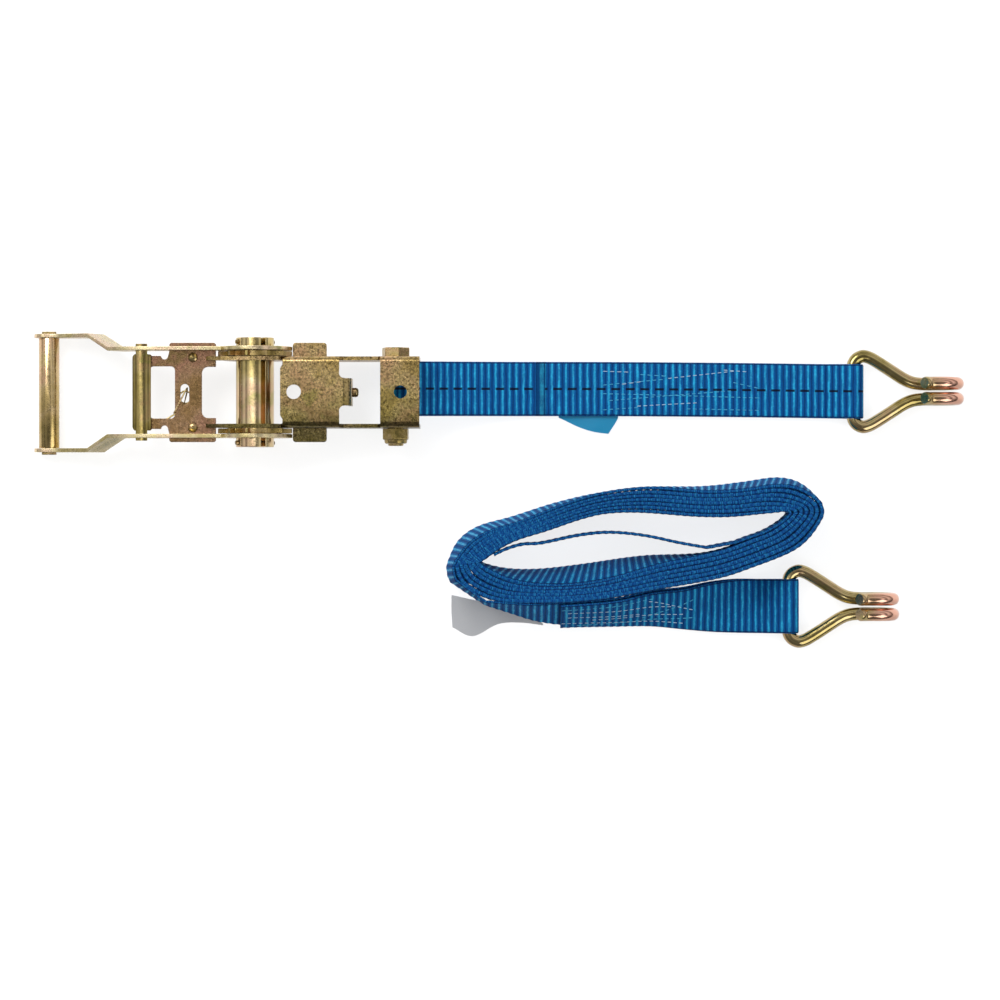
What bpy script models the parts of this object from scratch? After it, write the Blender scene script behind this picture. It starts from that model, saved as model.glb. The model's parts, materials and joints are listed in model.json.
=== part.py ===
"""Two-piece ratchet tie down: a ratchet with a short strap and hook, and a wound strap with its hook.

It lies on a surface at z = 0 with the ratchet's base uppermost and the handle fully open.
X runs from the handle to the hooks, Y across the webbing, Z up. The origin is under the middle of the set.
"""

import math

import bmesh
import bpy
from mathutils import Matrix, Vector

MM = 0.001
GAP = 0.3 * MM  # between pieces that touch

# Webbing
WEB_WIDTH = 35 * MM
WEB_THICK = 2.2 * MM
SEWN_THICK = 2 * WEB_THICK + 0.2 * MM

# Where the spindle's axis, the two straps and their hooks lie
SPINDLE_X = -157.6 * MM
SPINDLE_Z = 24.5 * MM
SHORT_Y = 62.0 * MM
SHORT_HOOK_Y = 63.1 * MM
SHORT_BOW = 1.0 * MM  # how far the short strap bows to the side midway
SHORT_SKEW = 1.3 * MM  # how far the short strap strays to the side at the bolt
LONG_Y = -75.4 * MM
SHORT_HOOK_X = 227.2 * MM
LONG_HOOK_X = 185.6 * MM

# Spindle and ratchet wheels
SPINDLE_R = 12.2 * MM
SPINDLE_SLOT = 3.0 * MM
SPINDLE_TURN = math.radians(60)  # how the webbing slot leans at rest
SPINDLE_HALF_LENGTH = 35 * MM
WHEEL_TIP_R = 24.2 * MM
WHEEL_ROOT_R = 19.6 * MM
WHEEL_TEETH = 12
WHEEL_INNER_Y = 23.2 * MM
WHEEL_THICK = 3.0 * MM
PIN_R = 1.4 * MM
PIN_Y = 32.3 * MM

# Frame, a U folded from one plate
FRAME_THICK = 2.5 * MM
FRAME_HALF_WIDTH = 22.8 * MM
FRAME_TOP = 16.0 * MM  # above the spindle's axis
FRAME_TAIL_X = 105.6 * MM
FRAME_BEND_R = 2.75 * MM  # at the plate's middle
TONGUE_X = 56.5 * MM
TONGUE_BEND_R = 4.75 * MM
BOLT_X = 90.1 * MM
BOLT_DROP = 4.0 * MM
BOLT_R = 5.0 * MM
BOLT_FLATS = 16.0 * MM

# Handle
PLATE_THICK = 2.5 * MM
PLATE_INNER_Y = 26.7 * MM
PLATE_SPREAD = 8.9 * MM  # how far the plates flare out to the grip, each side
GRIP_X = -134.0 * MM
GRIP_DROP = 17.5 * MM
FLARE = (-92.7 * MM, -109.2 * MM)  # where the flare starts and ends, at the spindle's height
FLARE_SLANT = 0.5
CROSSBAR_X = -72.2 * MM
FOLD_DEG = 150  # from fully open to folded under the frame

# The two pawls slide along X in the plane of the spindle's axis
PAWL_THICK = 3.0 * MM
EAR_Y = 31.8 * MM
PAWL_LIFT = 4.0 * MM  # from clear of the wheels to engaged

# Hooks, bent from round wire
WIRE_R = 4.1 * MM
HOOK_SLACK = 0.7 * MM  # between the wire and the strap's eye
HOOK_BAR_Z = WEB_THICK + HOOK_SLACK + WIRE_R + 0.1 * MM
HOOK_HALF_WIDTH = 22.75 * MM
HOOK_REACH = 70.5 * MM
HOOK_BEND_R = 11.5 * MM
HOOK_TINE_Y = 4.9 * MM


def clear_scene():
    for thing in list(bpy.data.objects):
        bpy.data.objects.remove(thing, do_unlink=True)


def material(name, colour, roughness, metallic):
    made = bpy.data.materials.new(name)
    made.use_nodes = True
    shader = made.node_tree.nodes["Principled BSDF"]
    shader.inputs["Base Color"].default_value = (*colour, 1)
    shader.inputs["Roughness"].default_value = roughness
    shader.inputs["Metallic"].default_value = metallic
    return made


def arc(cx, cy, radius, start, end, steps):
    """Points along an arc, from one angle in degrees to another."""
    angles = [math.radians(start + (end - start) * i / steps) for i in range(steps + 1)]
    return [(cx + radius * math.cos(a), cy + radius * math.sin(a)) for a in angles]


def box_loop(x0, x1, y0, y1, radius=0.0, steps=3):
    """A rectangle with round corners."""
    if not radius:
        return [(x0, y0), (x1, y0), (x1, y1), (x0, y1)]
    corners = ((x1, y0, -90), (x1, y1, 0), (x0, y1, 90), (x0, y0, 180))
    points = []
    for x, y, start in corners:
        cx = x - radius if x == x1 else x + radius
        cy = y - radius if y == y1 else y + radius
        points += arc(cx, cy, radius, start, start + 90, steps)
    return points


def circle(cx, cy, radius, steps=24):
    return arc(cx, cy, radius, 0, 360 - 360 / steps, steps - 1)


def mirrored(half):
    """A whole outline from its half at y > 0, given from its right end to its left end."""
    return half + [(x, -y) for x, y in reversed(half) if abs(y) > 1e-9]


def blank(loops, thickness, creases=()):
    """A flat plate on its middle plane: the first loop is its outline and the others are holes.

    Each crease is a point and a normal in the plate's plane, where it is cut into more faces so it can bend.
    """
    curve = bpy.data.curves.new("blank", "CURVE")
    curve.dimensions = "2D"
    curve.fill_mode = "BOTH"
    curve.extrude = thickness / 2
    for loop in loops:
        spline = curve.splines.new("POLY")
        spline.points.add(len(loop) - 1)
        for point, (x, y) in zip(spline.points, loop):
            point.co = (x, y, 0, 1)
        spline.use_cyclic_u = True
    holder = bpy.data.objects.new("blank", curve)
    bpy.context.scene.collection.objects.link(holder)
    graph = bpy.context.evaluated_depsgraph_get()
    mesh = bpy.data.meshes.new_from_object(holder.evaluated_get(graph))
    bpy.data.objects.remove(holder)
    plate = bmesh.new()
    plate.from_mesh(mesh)
    bmesh.ops.remove_doubles(plate, verts=plate.verts, dist=1e-6)
    for point, normal in creases:
        everything = plate.verts[:] + plate.edges[:] + plate.faces[:]
        bmesh.ops.bisect_plane(
            plate, geom=everything, dist=1e-7, plane_co=(*point, 0), plane_no=(*normal, 0)
        )
    return plate


def place(plate, where):
    """Moves each point of the plate to where(point) says."""
    for vert in plate.verts:
        vert.co = where(vert.co)
    return plate


def face_out(solid):
    bmesh.ops.recalc_face_normals(solid, faces=solid.faces)
    if solid.calc_volume(signed=True) < 0:
        bmesh.ops.reverse_faces(solid, faces=solid.faces)


def helper(name, solid, parent):
    """A hidden object for a Boolean."""
    face_out(solid)
    shape = bpy.data.meshes.new(name)
    solid.to_mesh(shape)
    solid.free()
    tool = bpy.data.objects.new(name, shape)
    bpy.context.scene.collection.objects.link(tool)
    tool.parent = parent
    tool.hide_render = True
    tool.display_type = "WIRE"
    return tool


def combine(made, solid, operation):
    """Cuts the solid from an object, or joins it to the object."""
    tool = helper(f"{made.name}_helper_{len(made.modifiers)}", solid, made.parent)
    step = made.modifiers.new(tool.name, "BOOLEAN")
    step.operation = operation
    step.solver = "EXACT"
    step.object = tool


def add(name, solid, finish, parent=None):
    """Makes a named object of the solid, shaded smooth up to its sharp edges."""
    face_out(solid)
    mesh = bpy.data.meshes.new(name)
    solid.to_mesh(mesh)
    solid.free()
    made = bpy.data.objects.new(name, mesh)
    bpy.context.scene.collection.objects.link(made)
    made.data.materials.append(finish)
    made.parent = parent
    mesh.shade_smooth()
    mesh.set_sharp_from_angle(angle=math.radians(35))
    return made


def across(plate, y):
    """Stands a plate drawn in X and Z upright at that y."""
    return place(plate, lambda p: Vector((p.x, y - p.z, p.y)))


def rod(start, end, radius, sides=20, turn=0.0, tip=0.0):
    """A round or many-sided bar between two points, with its end chamfered by tip."""
    axis = Vector(end) - Vector(start)
    bar = bmesh.new()
    bmesh.ops.create_cone(
        bar, cap_ends=True, segments=sides, radius1=radius, radius2=radius, depth=axis.length
    )
    if tip:
        top = [e for e in bar.edges if all(v.co.z > 0 for v in e.verts)]
        bmesh.ops.bevel(bar, geom=top, offset=tip, segments=2, affect="EDGES", profile=0.5)
    spin = Matrix.Rotation(turn, 4, "Z")
    aim = axis.to_track_quat("Z", "Y").to_matrix().to_4x4()
    bmesh.ops.transform(bar, matrix=aim @ spin, verts=bar.verts)
    bmesh.ops.translate(bar, vec=(Vector(start) + Vector(end)) / 2, verts=bar.verts)
    return bar


def smooth_route(points, per_span=4, closed=False):
    """A smooth curve through the points, of any dimension, by Catmull-Rom spans."""
    count = len(points)
    spans = count if closed else count - 1
    route = []
    for i in range(spans):
        if closed:
            a, b, c, d = (points[(i + k) % count] for k in (-1, 0, 1, 2))
        else:
            b, c = points[i], points[i + 1]
            a = points[i - 1] if i else [2 * p - q for p, q in zip(b, c)]
            d = points[i + 2] if i + 2 < count else [2 * q - p for p, q in zip(b, c)]
        for step in range(per_span):
            t = step / per_span
            route.append(
                [
                    q
                    + 0.5 * ((r - p) * t + (2 * p - 5 * q + 4 * r - s) * t**2)
                    + 0.5 * (3 * q - p - 3 * r + s) * t**3
                    for p, q, r, s in zip(a, b, c, d)
                ]
            )
    if not closed:
        route.append(list(points[-1]))
    return route


def wire(name, points, radius, finish, parent, bevel_resolution=2):
    """A round wire along the points, with filled ends."""
    curve = bpy.data.curves.new(name, "CURVE")
    curve.dimensions = "3D"
    curve.bevel_depth = radius
    curve.bevel_resolution = bevel_resolution
    curve.use_fill_caps = True
    spline = curve.splines.new("POLY")
    spline.points.add(len(points) - 1)
    for point, place_at in zip(spline.points, points):
        point.co = (*place_at, 1)
    made = bpy.data.objects.new(name, curve)
    bpy.context.scene.collection.objects.link(made)
    made.data.materials.append(finish)
    made.parent = parent
    return made


def pivot(name, place_at, parent=None):
    empty = bpy.data.objects.new(name, None)
    bpy.context.scene.collection.objects.link(empty)
    empty.location = place_at
    empty.parent = parent
    return empty


# Frame


def frame_outline():
    """Half of the flat blank, at y > 0, and the height on the folded side that each y stands for."""
    flat = FRAME_HALF_WIDTH - FRAME_THICK / 2 - FRAME_BEND_R
    bend_end = flat + FRAME_BEND_R * math.pi / 2
    side_top = FRAME_TOP - FRAME_THICK / 2 - FRAME_BEND_R

    def side(x, height):
        return (x * MM, bend_end + side_top - height * MM)

    cam = [
        (x, bend_end + side_top - z) for x, z in arc(0, 0, 19.3 * MM, 340, 186, 12)
    ]
    foot = [side(*p) for p in ((105.6, -21), (102.6, -24.5), (81, -24.5), (78, -22), (52, -22))]
    head = ((-20.2, -1.9), (-20.2, 2.1), (-31, 2.1), (-31, 6.5), (-28.5, 9.5), (-10, 16.4))
    head = [side(*p) for p in head]
    relief = [side(*p) for p in ((12, 16.4), (16, 14.5), (16, 10.5), (17, 10.5))]
    base = [(18.5 * MM, 20 * MM), (18.5 * MM, 17.5 * MM), (17 * MM, 15 * MM)]
    return [(FRAME_TAIL_X, 0)] + foot + cam + head + relief + base + [(17 * MM, 0)]


def frame_window():
    """The opening between the base plate and the tail plate, with the fork cut in the tongue's end."""
    tongue_half = 8.7 * MM
    tongue_end = 78.6 * MM
    fork_x = 74.0 * MM  # the fork's round end, level with the guide pin
    fork_r = 3.4 * MM
    half = [(80.7 * MM, 0), (80.7 * MM, 24 * MM), (79 * MM, 26.1 * MM), (57 * MM, 26.1 * MM)]
    half += [(54.6 * MM, 23.5 * MM), (54.6 * MM, 15 * MM)]
    half += arc(57.9 * MM, 12.2 * MM, 3.5 * MM, 165, 270, 4)
    half += [(tongue_end, tongue_half), (tongue_end, fork_r)]
    half += arc(fork_x, 0, fork_r, 90, 180, 4)
    return mirrored(half)


def fold_frame(p):
    """Where a point of the flat blank goes when the tongue and then the sides are folded down."""
    flat = FRAME_HALF_WIDTH - FRAME_THICK / 2 - FRAME_BEND_R
    bend_end = flat + FRAME_BEND_R * math.pi / 2
    middle = FRAME_TOP - FRAME_THICK / 2
    out, sign = abs(p.y), math.copysign(1, p.y)
    if p.x > TONGUE_X and out < 9 * MM and p.x < 79 * MM:
        turn = min((p.x - TONGUE_X) / TONGUE_BEND_R, math.pi / 2)
        straight = max(0, p.x - TONGUE_X - TONGUE_BEND_R * math.pi / 2)
        radius = TONGUE_BEND_R + p.z
        x = TONGUE_X + radius * math.sin(turn)
        return Vector((x, p.y, middle - TONGUE_BEND_R + radius * math.cos(turn) - straight))
    upright = FRAME_HALF_WIDTH - FRAME_THICK / 2 + p.z
    if p.x < 16.5 * MM or out >= bend_end:
        return Vector((p.x, sign * upright, middle - FRAME_BEND_R + bend_end - out))
    if out <= flat:
        return Vector((p.x, p.y, middle + p.z))
    turn = (out - flat) / FRAME_BEND_R
    radius = FRAME_BEND_R + p.z
    side = sign * (flat + radius * math.sin(turn))
    return Vector((p.x, side, middle - FRAME_BEND_R + radius * math.cos(turn)))


def make_frame(finish, parent):
    flat = FRAME_HALF_WIDTH - FRAME_THICK / 2 - FRAME_BEND_R
    bend = FRAME_BEND_R * math.pi / 2
    # How far out on the blank the spindle's axis comes.
    level = flat + bend + FRAME_TOP - FRAME_THICK / 2 - FRAME_BEND_R
    holes = [frame_window(), circle(25.6 * MM, 0, 4.65 * MM), circle(93.5 * MM, 0, 4.2 * MM)]
    for sign in (-1, 1):
        holes.append(circle(0, sign * level, SPINDLE_R + 0.4 * MM, 32))
        holes.append(circle(BOLT_X, sign * (level + BOLT_DROP), BOLT_R + GAP))
        slot = box_loop(20 * MM, 46.6 * MM, level - 1.85 * MM, level + 1.85 * MM)
        holes.append([(x, sign * y) for x, y in slot])
    creases = []
    for step in range(5):
        out = flat + bend * step / 4
        creases += [((0, out), (0, 1)), ((0, -out), (0, 1))]
    for step in range(6):
        creases.append(((TONGUE_X + TONGUE_BEND_R * math.pi / 2 * step / 5, 0), (1, 0)))
    plate = blank([mirrored(frame_outline())] + holes, FRAME_THICK, creases)
    return add("frame", place(plate, fold_frame), finish, parent)


def make_bolt(finish, parent):
    """A hex bolt through the tail with a lock nut, which the short strap's eye turns on."""
    at = (BOLT_X, -BOLT_DROP)
    face = FRAME_HALF_WIDTH + GAP
    corner = BOLT_FLATS / math.sqrt(3)
    head = rod((at[0], face, at[1]), (at[0], face + 5.8 * MM, at[1]), corner, 6, math.radians(14), 0.5 * MM)
    shank = rod((at[0], face + 1 * MM, at[1]), (at[0], -34.2 * MM, at[1]), BOLT_R, 20, 0, 0.7 * MM)
    combine(add("tail_bolt", head, finish, parent), shank, "UNION")
    nut = rod((at[0], -face, at[1]), (at[0], -face - 7.2 * MM, at[1]), corner, 6, math.radians(3), 0.7 * MM)
    start, end = (at[0], -face - 6.6 * MM, at[1]), (at[0], -face - 9.7 * MM, at[1])
    collar = rod(start, end, 7.3 * MM, 20, 0, 1.2 * MM)
    bore = rod((at[0], -20 * MM, at[1]), (at[0], -40 * MM, at[1]), BOLT_R + GAP, 20)
    made = add("tail_nut", nut, finish, parent)
    combine(made, collar, "UNION")
    combine(made, bore, "DIFFERENCE")


# Base pawl


def make_base_pawl(finish, parent):
    """A sliding plate whose ears stop both ratchet wheels, and its guide pin."""
    front, back = 24.3 * MM, 46.0 * MM
    corner = 1.8 * MM
    half = [(back, 0)] + arc(back - corner, EAR_Y - corner, corner, 0, 90, 4)
    half += arc(front + corner, EAR_Y - corner, corner, 90, 180, 4)
    half += [(front, 19 * MM), (31 * MM, 15 * MM), (31 * MM, 0)]
    add("base_pawl", blank([mirrored(half)], PAWL_THICK), finish, parent)
    pin = rod((back + GAP, 0, 0), (66.4 * MM, 0, 0), 3.0 * MM, 16, 0, 1.6 * MM)
    add("base_pawl_guide_pin", pin, finish, parent)


def make_base_spring(finish, parent):
    turns, steps = 4, 12
    start, end, radius = 47.0 * MM, 59.0 * MM, 4.2 * MM
    points = []
    for i in range(turns * steps + 1):
        angle = 2 * math.pi * i / steps
        x = start + (end - start) * i / (turns * steps)
        points.append((x, radius * math.cos(angle), radius * math.sin(angle)))
    wire("base_pawl_spring", points, 0.6 * MM, finish, parent, 1)


# Spindle


def half_round(radius, slot, grow=0.0):
    """A D-shaped outline on one side of the webbing slot, turned to the spindle's rest angle."""
    flat = slot / 2 - grow
    reach = radius + grow
    edge = math.degrees(math.asin(flat / reach))
    points = arc(0, 0, reach, edge, 180 - edge, 20)
    turn = Matrix.Rotation(SPINDLE_TURN, 2)
    return [tuple(turn @ Vector(p)) for p in points]


def make_spindle(finish, parent):
    """Two half-round bars with the webbing's slot between them, keyed into a ratchet wheel at each end."""
    normal = Vector((-math.sin(SPINDLE_TURN), 0, math.cos(SPINDLE_TURN)))
    upper = half_round(SPINDLE_R, SPINDLE_SLOT)
    lower = [(-x, -z) for x, z in upper]
    for name, outline in (("spindle_half_upper", upper), ("spindle_half_lower", lower)):
        bar = across(blank([outline], 2 * SPINDLE_HALF_LENGTH), 0)
        made = add(name, bar, finish, parent)
        for y in (-PIN_Y, PIN_Y):
            middle = Vector((0, y, 0))
            hole = rod(middle - normal * 20 * MM, middle + normal * 20 * MM, PIN_R + GAP, 10)
            combine(made, hole, "DIFFERENCE")
    key = half_round(SPINDLE_R, SPINDLE_SLOT, GAP)
    teeth = []
    for tooth in range(WHEEL_TEETH):
        start = 360 / WHEEL_TEETH * tooth
        corners = ((WHEEL_ROOT_R, 5.5), (WHEEL_TIP_R, 7.5), (WHEEL_TIP_R, 11), (WHEEL_ROOT_R, 24.5))
        for radius, angle in corners:
            turn = math.radians(start + angle)
            teeth.append((radius * math.cos(turn), radius * math.sin(turn)))
    for name, y in (("left", WHEEL_INNER_Y + WHEEL_THICK / 2), ("right", -WHEEL_INNER_Y - WHEEL_THICK / 2)):
        wheel = blank([teeth, key, [(-x, -z) for x, z in key]], WHEEL_THICK)
        add(f"ratchet_wheel_{name}", across(wheel, y), finish, parent)
    for name, y in (("left", PIN_Y), ("right", -PIN_Y)):
        along = normal * 13.6 * MM
        pin = rod(Vector((0, y, 0)) - along, Vector((0, y, 0)) + along, PIN_R, 10)
        add(f"spindle_pin_{name}", pin, finish, parent)


# Handle


def handle_outline():
    """A side plate from the side: a head that is a cam for the base pawl, then the arm down to the grip."""
    # The cam's radius falls evenly by PAWL_LIFT as the handle folds through FOLD_DEG.
    steps = 20
    cam = []
    for i in range(steps + 1):
        turn = FOLD_DEG * (1 - i / steps)
        radius = 24 * MM - PAWL_LIFT * turn / FOLD_DEG
        cam.append((radius * math.cos(math.radians(turn)), -radius * math.sin(math.radians(turn))))
    back = arc(0, 0, 24 * MM, 6, 150, 18)
    top = [(-60 * MM, 11 * MM), (-82 * MM, 9 * MM), (-127 * MM, -10.8 * MM)]
    end = arc(-136.5 * MM, -GRIP_DROP, 7 * MM, 75, 270, 10)
    under = [(-108 * MM, -24.3 * MM), (-84 * MM, -16 * MM), (-62 * MM, -6.5 * MM), (-19.5 * MM, -6.5 * MM)]
    return cam + back + top + end + under


def flare(x, z):
    """How far out the plate stands: straight, then through a slanting bend, then straight again."""
    start, end = FLARE
    along = (x + z * FLARE_SLANT - start) / (end - start)
    return PLATE_SPREAD * min(1, max(0, along))


def make_handle(finish, parent):
    """Two bent side plates held apart by the grip and a crossbar."""
    slot = box_loop(-64.4 * MM, -20.2 * MM, -1.8 * MM, 1.8 * MM)
    grip_slot = box_loop(GRIP_X - 4.9 * MM, GRIP_X + 4.9 * MM, -GRIP_DROP - 2.3 * MM, -GRIP_DROP + 2.3 * MM)
    bar_slot = box_loop(CROSSBAR_X - 3.9 * MM, CROSSBAR_X + 3.9 * MM, 3.1 * MM, 7.0 * MM)
    loops = [handle_outline(), circle(0, 0, SPINDLE_R + 0.4 * MM, 32), slot, grip_slot, bar_slot]
    creases = [((x, 0), (1, FLARE_SLANT)) for x in FLARE]
    middle = PLATE_INNER_Y + PLATE_THICK / 2
    for name, sign in (("left", 1), ("right", -1)):
        plate = blank(loops, PLATE_THICK, creases)
        place(plate, lambda p: Vector((p.x, sign * (middle + p.z + flare(p.x, p.y)), p.y)))
        add(f"handle_plate_{name}", plate, finish, parent)
    make_grip(finish, parent)
    make_crossbar(finish, parent)


def make_grip(finish, parent):
    """A rolled tube, its seam underneath, on a flat bar that is riveted over outside the side plates."""
    inside = PLATE_INNER_Y + PLATE_SPREAD - GAP
    outer = arc(GRIP_X, -GRIP_DROP, 6.6 * MM, -85, 265, 28)
    inner = arc(GRIP_X, -GRIP_DROP, 5.2 * MM, 264, -84, 28)
    add("handle_grip", across(blank([outer + inner], 2 * inside), 0), finish, parent)
    half = 4.6 * MM
    bar = box_loop(GRIP_X - half, GRIP_X + half, -GRIP_DROP - 2 * MM, -GRIP_DROP + 2 * MM, 0.8 * MM, 2)
    length = 2 * (PLATE_INNER_Y + PLATE_SPREAD + PLATE_THICK + 1.6 * MM)
    add("grip_bar", across(blank([bar], length), 0), finish, parent)


def make_crossbar(finish, parent):
    """A plate rolled to a shallow arch, with a tenon at each end riveted through the side plates."""
    thick, radius, half = 2.0 * MM, 7.5 * MM, 5.8 * MM
    crest = 5.5 * MM
    body, end = 24.5 * MM, PLATE_INNER_Y + PLATE_THICK + 1.8 * MM
    outline = [(half, 0)]
    outline += arc(half - 2.5 * MM, body - 2.5 * MM, 2.5 * MM, 0, 90, 4)
    outline += [(3.4 * MM, body), (3.4 * MM, end), (-3.4 * MM, end), (-3.4 * MM, body)]
    outline += arc(2.5 * MM - half, body - 2.5 * MM, 2.5 * MM, 90, 180, 4)
    outline += [(-half, 0)]
    creases = [((half * (i / 4 - 1), 0), (1, 0)) for i in range(9)]

    def roll(p):
        turn = p.x / radius
        out = radius + p.z
        return Vector((CROSSBAR_X + out * math.sin(turn), p.y, crest - radius + out * math.cos(turn)))

    add("handle_crossbar", place(blank([mirrored(outline)], thick, creases), roll), finish, parent)


# Handle pawl


def make_handle_pawl(finish, parent):
    """The sliding plate that drives the wheels: forked, with ears in the slots and a pull lip."""
    lip_x, lip_r = -73.4 * MM, 3.0 * MM
    body = 26.4 * MM
    half = [(-34 * MM, 0), (-34 * MM, 12.4 * MM)]
    half += arc(-30 * MM, 12.4 * MM, 4 * MM, 180, 90, 4)
    half += [(-25 * MM, 16.4 * MM), (-25 * MM, EAR_Y - 1 * MM), (-26 * MM, EAR_Y), (-53.8 * MM, EAR_Y)]
    half += [(-54.8 * MM, EAR_Y - 1 * MM), (-54.8 * MM, body), (-55.6 * MM, 23.4 * MM)]
    half += arc(-57.9 * MM, 23.4 * MM, 2.3 * MM, 0, -180, 6)
    half += [(-66 * MM, 23.4 * MM), (-67 * MM, 24.4 * MM), (-79 * MM, 24.4 * MM)]
    half += [(-80.1 * MM, 23.4 * MM), (-80.1 * MM, 0)]
    window = box_loop(-67.4 * MM, -51.2 * MM, -16.7 * MM, 16.7 * MM, 2.5 * MM, 3)
    oval = arc(-44.9 * MM, 2.6 * MM, 2.85 * MM, 0, 180, 8)
    oval += arc(-44.9 * MM, -4.8 * MM, 2.85 * MM, 180, 360, 8)
    holes = [window, oval] + [circle(-39.7 * MM, y, 2.3 * MM, 12) for y in (-22.4 * MM, 22.4 * MM)]
    creases = [((lip_x - lip_r * math.pi / 2 * i / 4, 0), (1, 0)) for i in range(5)]

    def curl(p):
        if p.x > lip_x:
            return p
        turn = min((lip_x - p.x) / lip_r, math.pi / 2)
        straight = max(0, lip_x - p.x - lip_r * math.pi / 2)
        out = lip_r + p.z
        return Vector((lip_x - out * math.sin(turn), p.y, out * math.cos(turn) - lip_r - straight))

    add("handle_pawl", place(blank([mirrored(half)] + holes, PAWL_THICK, creases), curl), finish, parent)
    for name, y in (("left", 22.4 * MM), ("right", -22.4 * MM)):
        add(f"handle_pawl_rivet_{name}", rivet(-39.7 * MM, y), finish, parent)


def rivet(x, y):
    """A domed rivet, its head on the upper face and its shank flush with the lower one."""
    top = PAWL_THICK / 2
    head_r, shank_r, height = 3.2 * MM, 2.0 * MM, 1.3 * MM
    section = [(0, -top), (shank_r, -top), (shank_r, top + GAP), (head_r, top + GAP)]
    for a in (math.radians(30), math.radians(60)):
        section.append((head_r * math.cos(a), top + GAP + height * math.sin(a)))
    section += [(0, top + GAP + height)]
    turned = bmesh.new()
    verts = [turned.verts.new((r, 0, z)) for r, z in section]
    edges = [turned.edges.new(pair) for pair in zip(verts, verts[1:])]
    bmesh.ops.spin(
        turned,
        geom=verts + edges,
        axis=(0, 0, 1),
        cent=(0, 0, 0),
        angle=2 * math.pi,
        steps=14,
        use_merge=True,
    )
    bmesh.ops.remove_doubles(turned, verts=turned.verts, dist=1e-6)
    bmesh.ops.translate(turned, vec=(x, y, 0), verts=turned.verts)
    return turned


def make_handle_spring(finish, parent):
    """A bent-wire spring: a flat coil under the handle pawl, one leg up through the oval hole."""
    steps, turns, radius = 12, 2, 4.0 * MM
    centre = Vector((-44.9 * MM, -3.0 * MM, 0))
    below, above = -4.6 * MM, 2.5 * MM
    points = [(-60.0 * MM, -18.6 * MM, below), (-52 * MM, -14 * MM, below)]
    for i in range(turns * steps + 1):
        angle = math.radians(-100 + 360 * i / steps)
        rise = 1.5 * MM * i / (turns * steps)
        x, y = centre.x + radius * math.cos(angle), centre.y + radius * math.sin(angle)
        points.append((x, y, below + rise))
    points += [(-43.6 * MM, 0.6 * MM, -1.4 * MM), (-43.3 * MM, 2.8 * MM, 1.0 * MM)]
    points += [(-44.2 * MM, 1.4 * MM, above)]
    points += [(-46.6 * MM, -3.4 * MM, above), (-51.0 * MM, -12.0 * MM, above)]
    points += [(-51.9 * MM, -13.4 * MM, 2.0 * MM)]
    wire("handle_pawl_spring", points, 0.55 * MM, finish, parent, 1)


# Hooks


def hook_half():
    """The wire's middle line on the +Y side, from the bar's middle to the end of the tine."""
    bar_bend = 7.0 * MM
    points = [(0, 0, 0), (0, 8 * MM, 0)]
    bend_y = HOOK_HALF_WIDTH - bar_bend
    points += [
        (bar_bend - bar_bend * math.cos(a), bend_y + bar_bend * math.sin(a), 0)
        for a in (math.radians(d) for d in (0, 25, 50, 75, 95))
    ]
    low = WIRE_R + GAP - HOOK_BAR_Z
    plan = [(12, 21.2, -0.4), (19, 17, -0.9), (26, 12.5, -1.5), (33, 8.1, -2), (39, 5.7, low / MM)]
    points += [(x * MM, y * MM, z * MM) for x, y, z in plan]
    centre_x = HOOK_REACH - WIRE_R - HOOK_BEND_R
    points += [(46 * MM, HOOK_TINE_Y, low)]
    for step in range(9):
        a = math.radians(-90 + 180 * step / 8)
        rise = HOOK_BEND_R * (1 + math.sin(a))
        points.append((centre_x + HOOK_BEND_R * math.cos(a), HOOK_TINE_Y, low + rise))
    top = low + 2 * HOOK_BEND_R
    points += [(48 * MM, HOOK_TINE_Y, top + 0.3 * MM), (43.5 * MM, HOOK_TINE_Y, top + 3.6 * MM)]
    return points


def make_hook(name, finish, parent):
    half = hook_half()
    other = [(x, -y, z) for x, y, z in reversed(half)]
    wire(name, other[:-1] + half, WIRE_R, finish, parent, 3)


# Webbing


def short_strap_route():
    """The sewn strap's middle line from the bolt to the hook's bar, as x, z and half the thickness."""
    bolt = (SPINDLE_X + BOLT_X, SPINDLE_Z - BOLT_DROP)
    eye, bar_eye = BOLT_R + GAP + WEB_THICK, WIRE_R + HOOK_SLACK + WEB_THICK
    flat = SEWN_THICK / 2
    return [
        (bolt[0], bolt[1], eye),
        (bolt[0] + 8 * MM, bolt[1] - 0.3 * MM, 6.2 * MM),
        (bolt[0] + 19 * MM, bolt[1] - 1.8 * MM, 3.2 * MM),
        (bolt[0] + 34 * MM, bolt[1] - 6.0 * MM, flat),
        (bolt[0] + 60 * MM, 7.0 * MM, flat),
        (bolt[0] + 84 * MM, flat + 0.5 * MM, flat),
        (bolt[0] + 120 * MM, flat + 0.1 * MM, flat),
        (90 * MM, flat + 0.1 * MM, flat),
        (SHORT_HOOK_X - 26 * MM, flat + 0.3 * MM, flat),
        (SHORT_HOOK_X - 14 * MM, 4.4 * MM, 3.6 * MM),
        (SHORT_HOOK_X, HOOK_BAR_Z, bar_eye),
    ]


def eyelet(x, z, radius, sign, length):
    """A teardrop hole in the strap's side view: round at the bar, pointed towards the sewn middle."""
    far = arc(x, z, radius, 90 * sign - 26, 90 * sign + 206, 12)
    midway = (x + length[0] * 0.55, z + length[1] * 0.55)
    aside = sign * radius * 0.3
    point = (x + length[0], z + length[1])
    return far + [(midway[0], midway[1] - aside), point, (midway[0], midway[1] + aside)]


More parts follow.
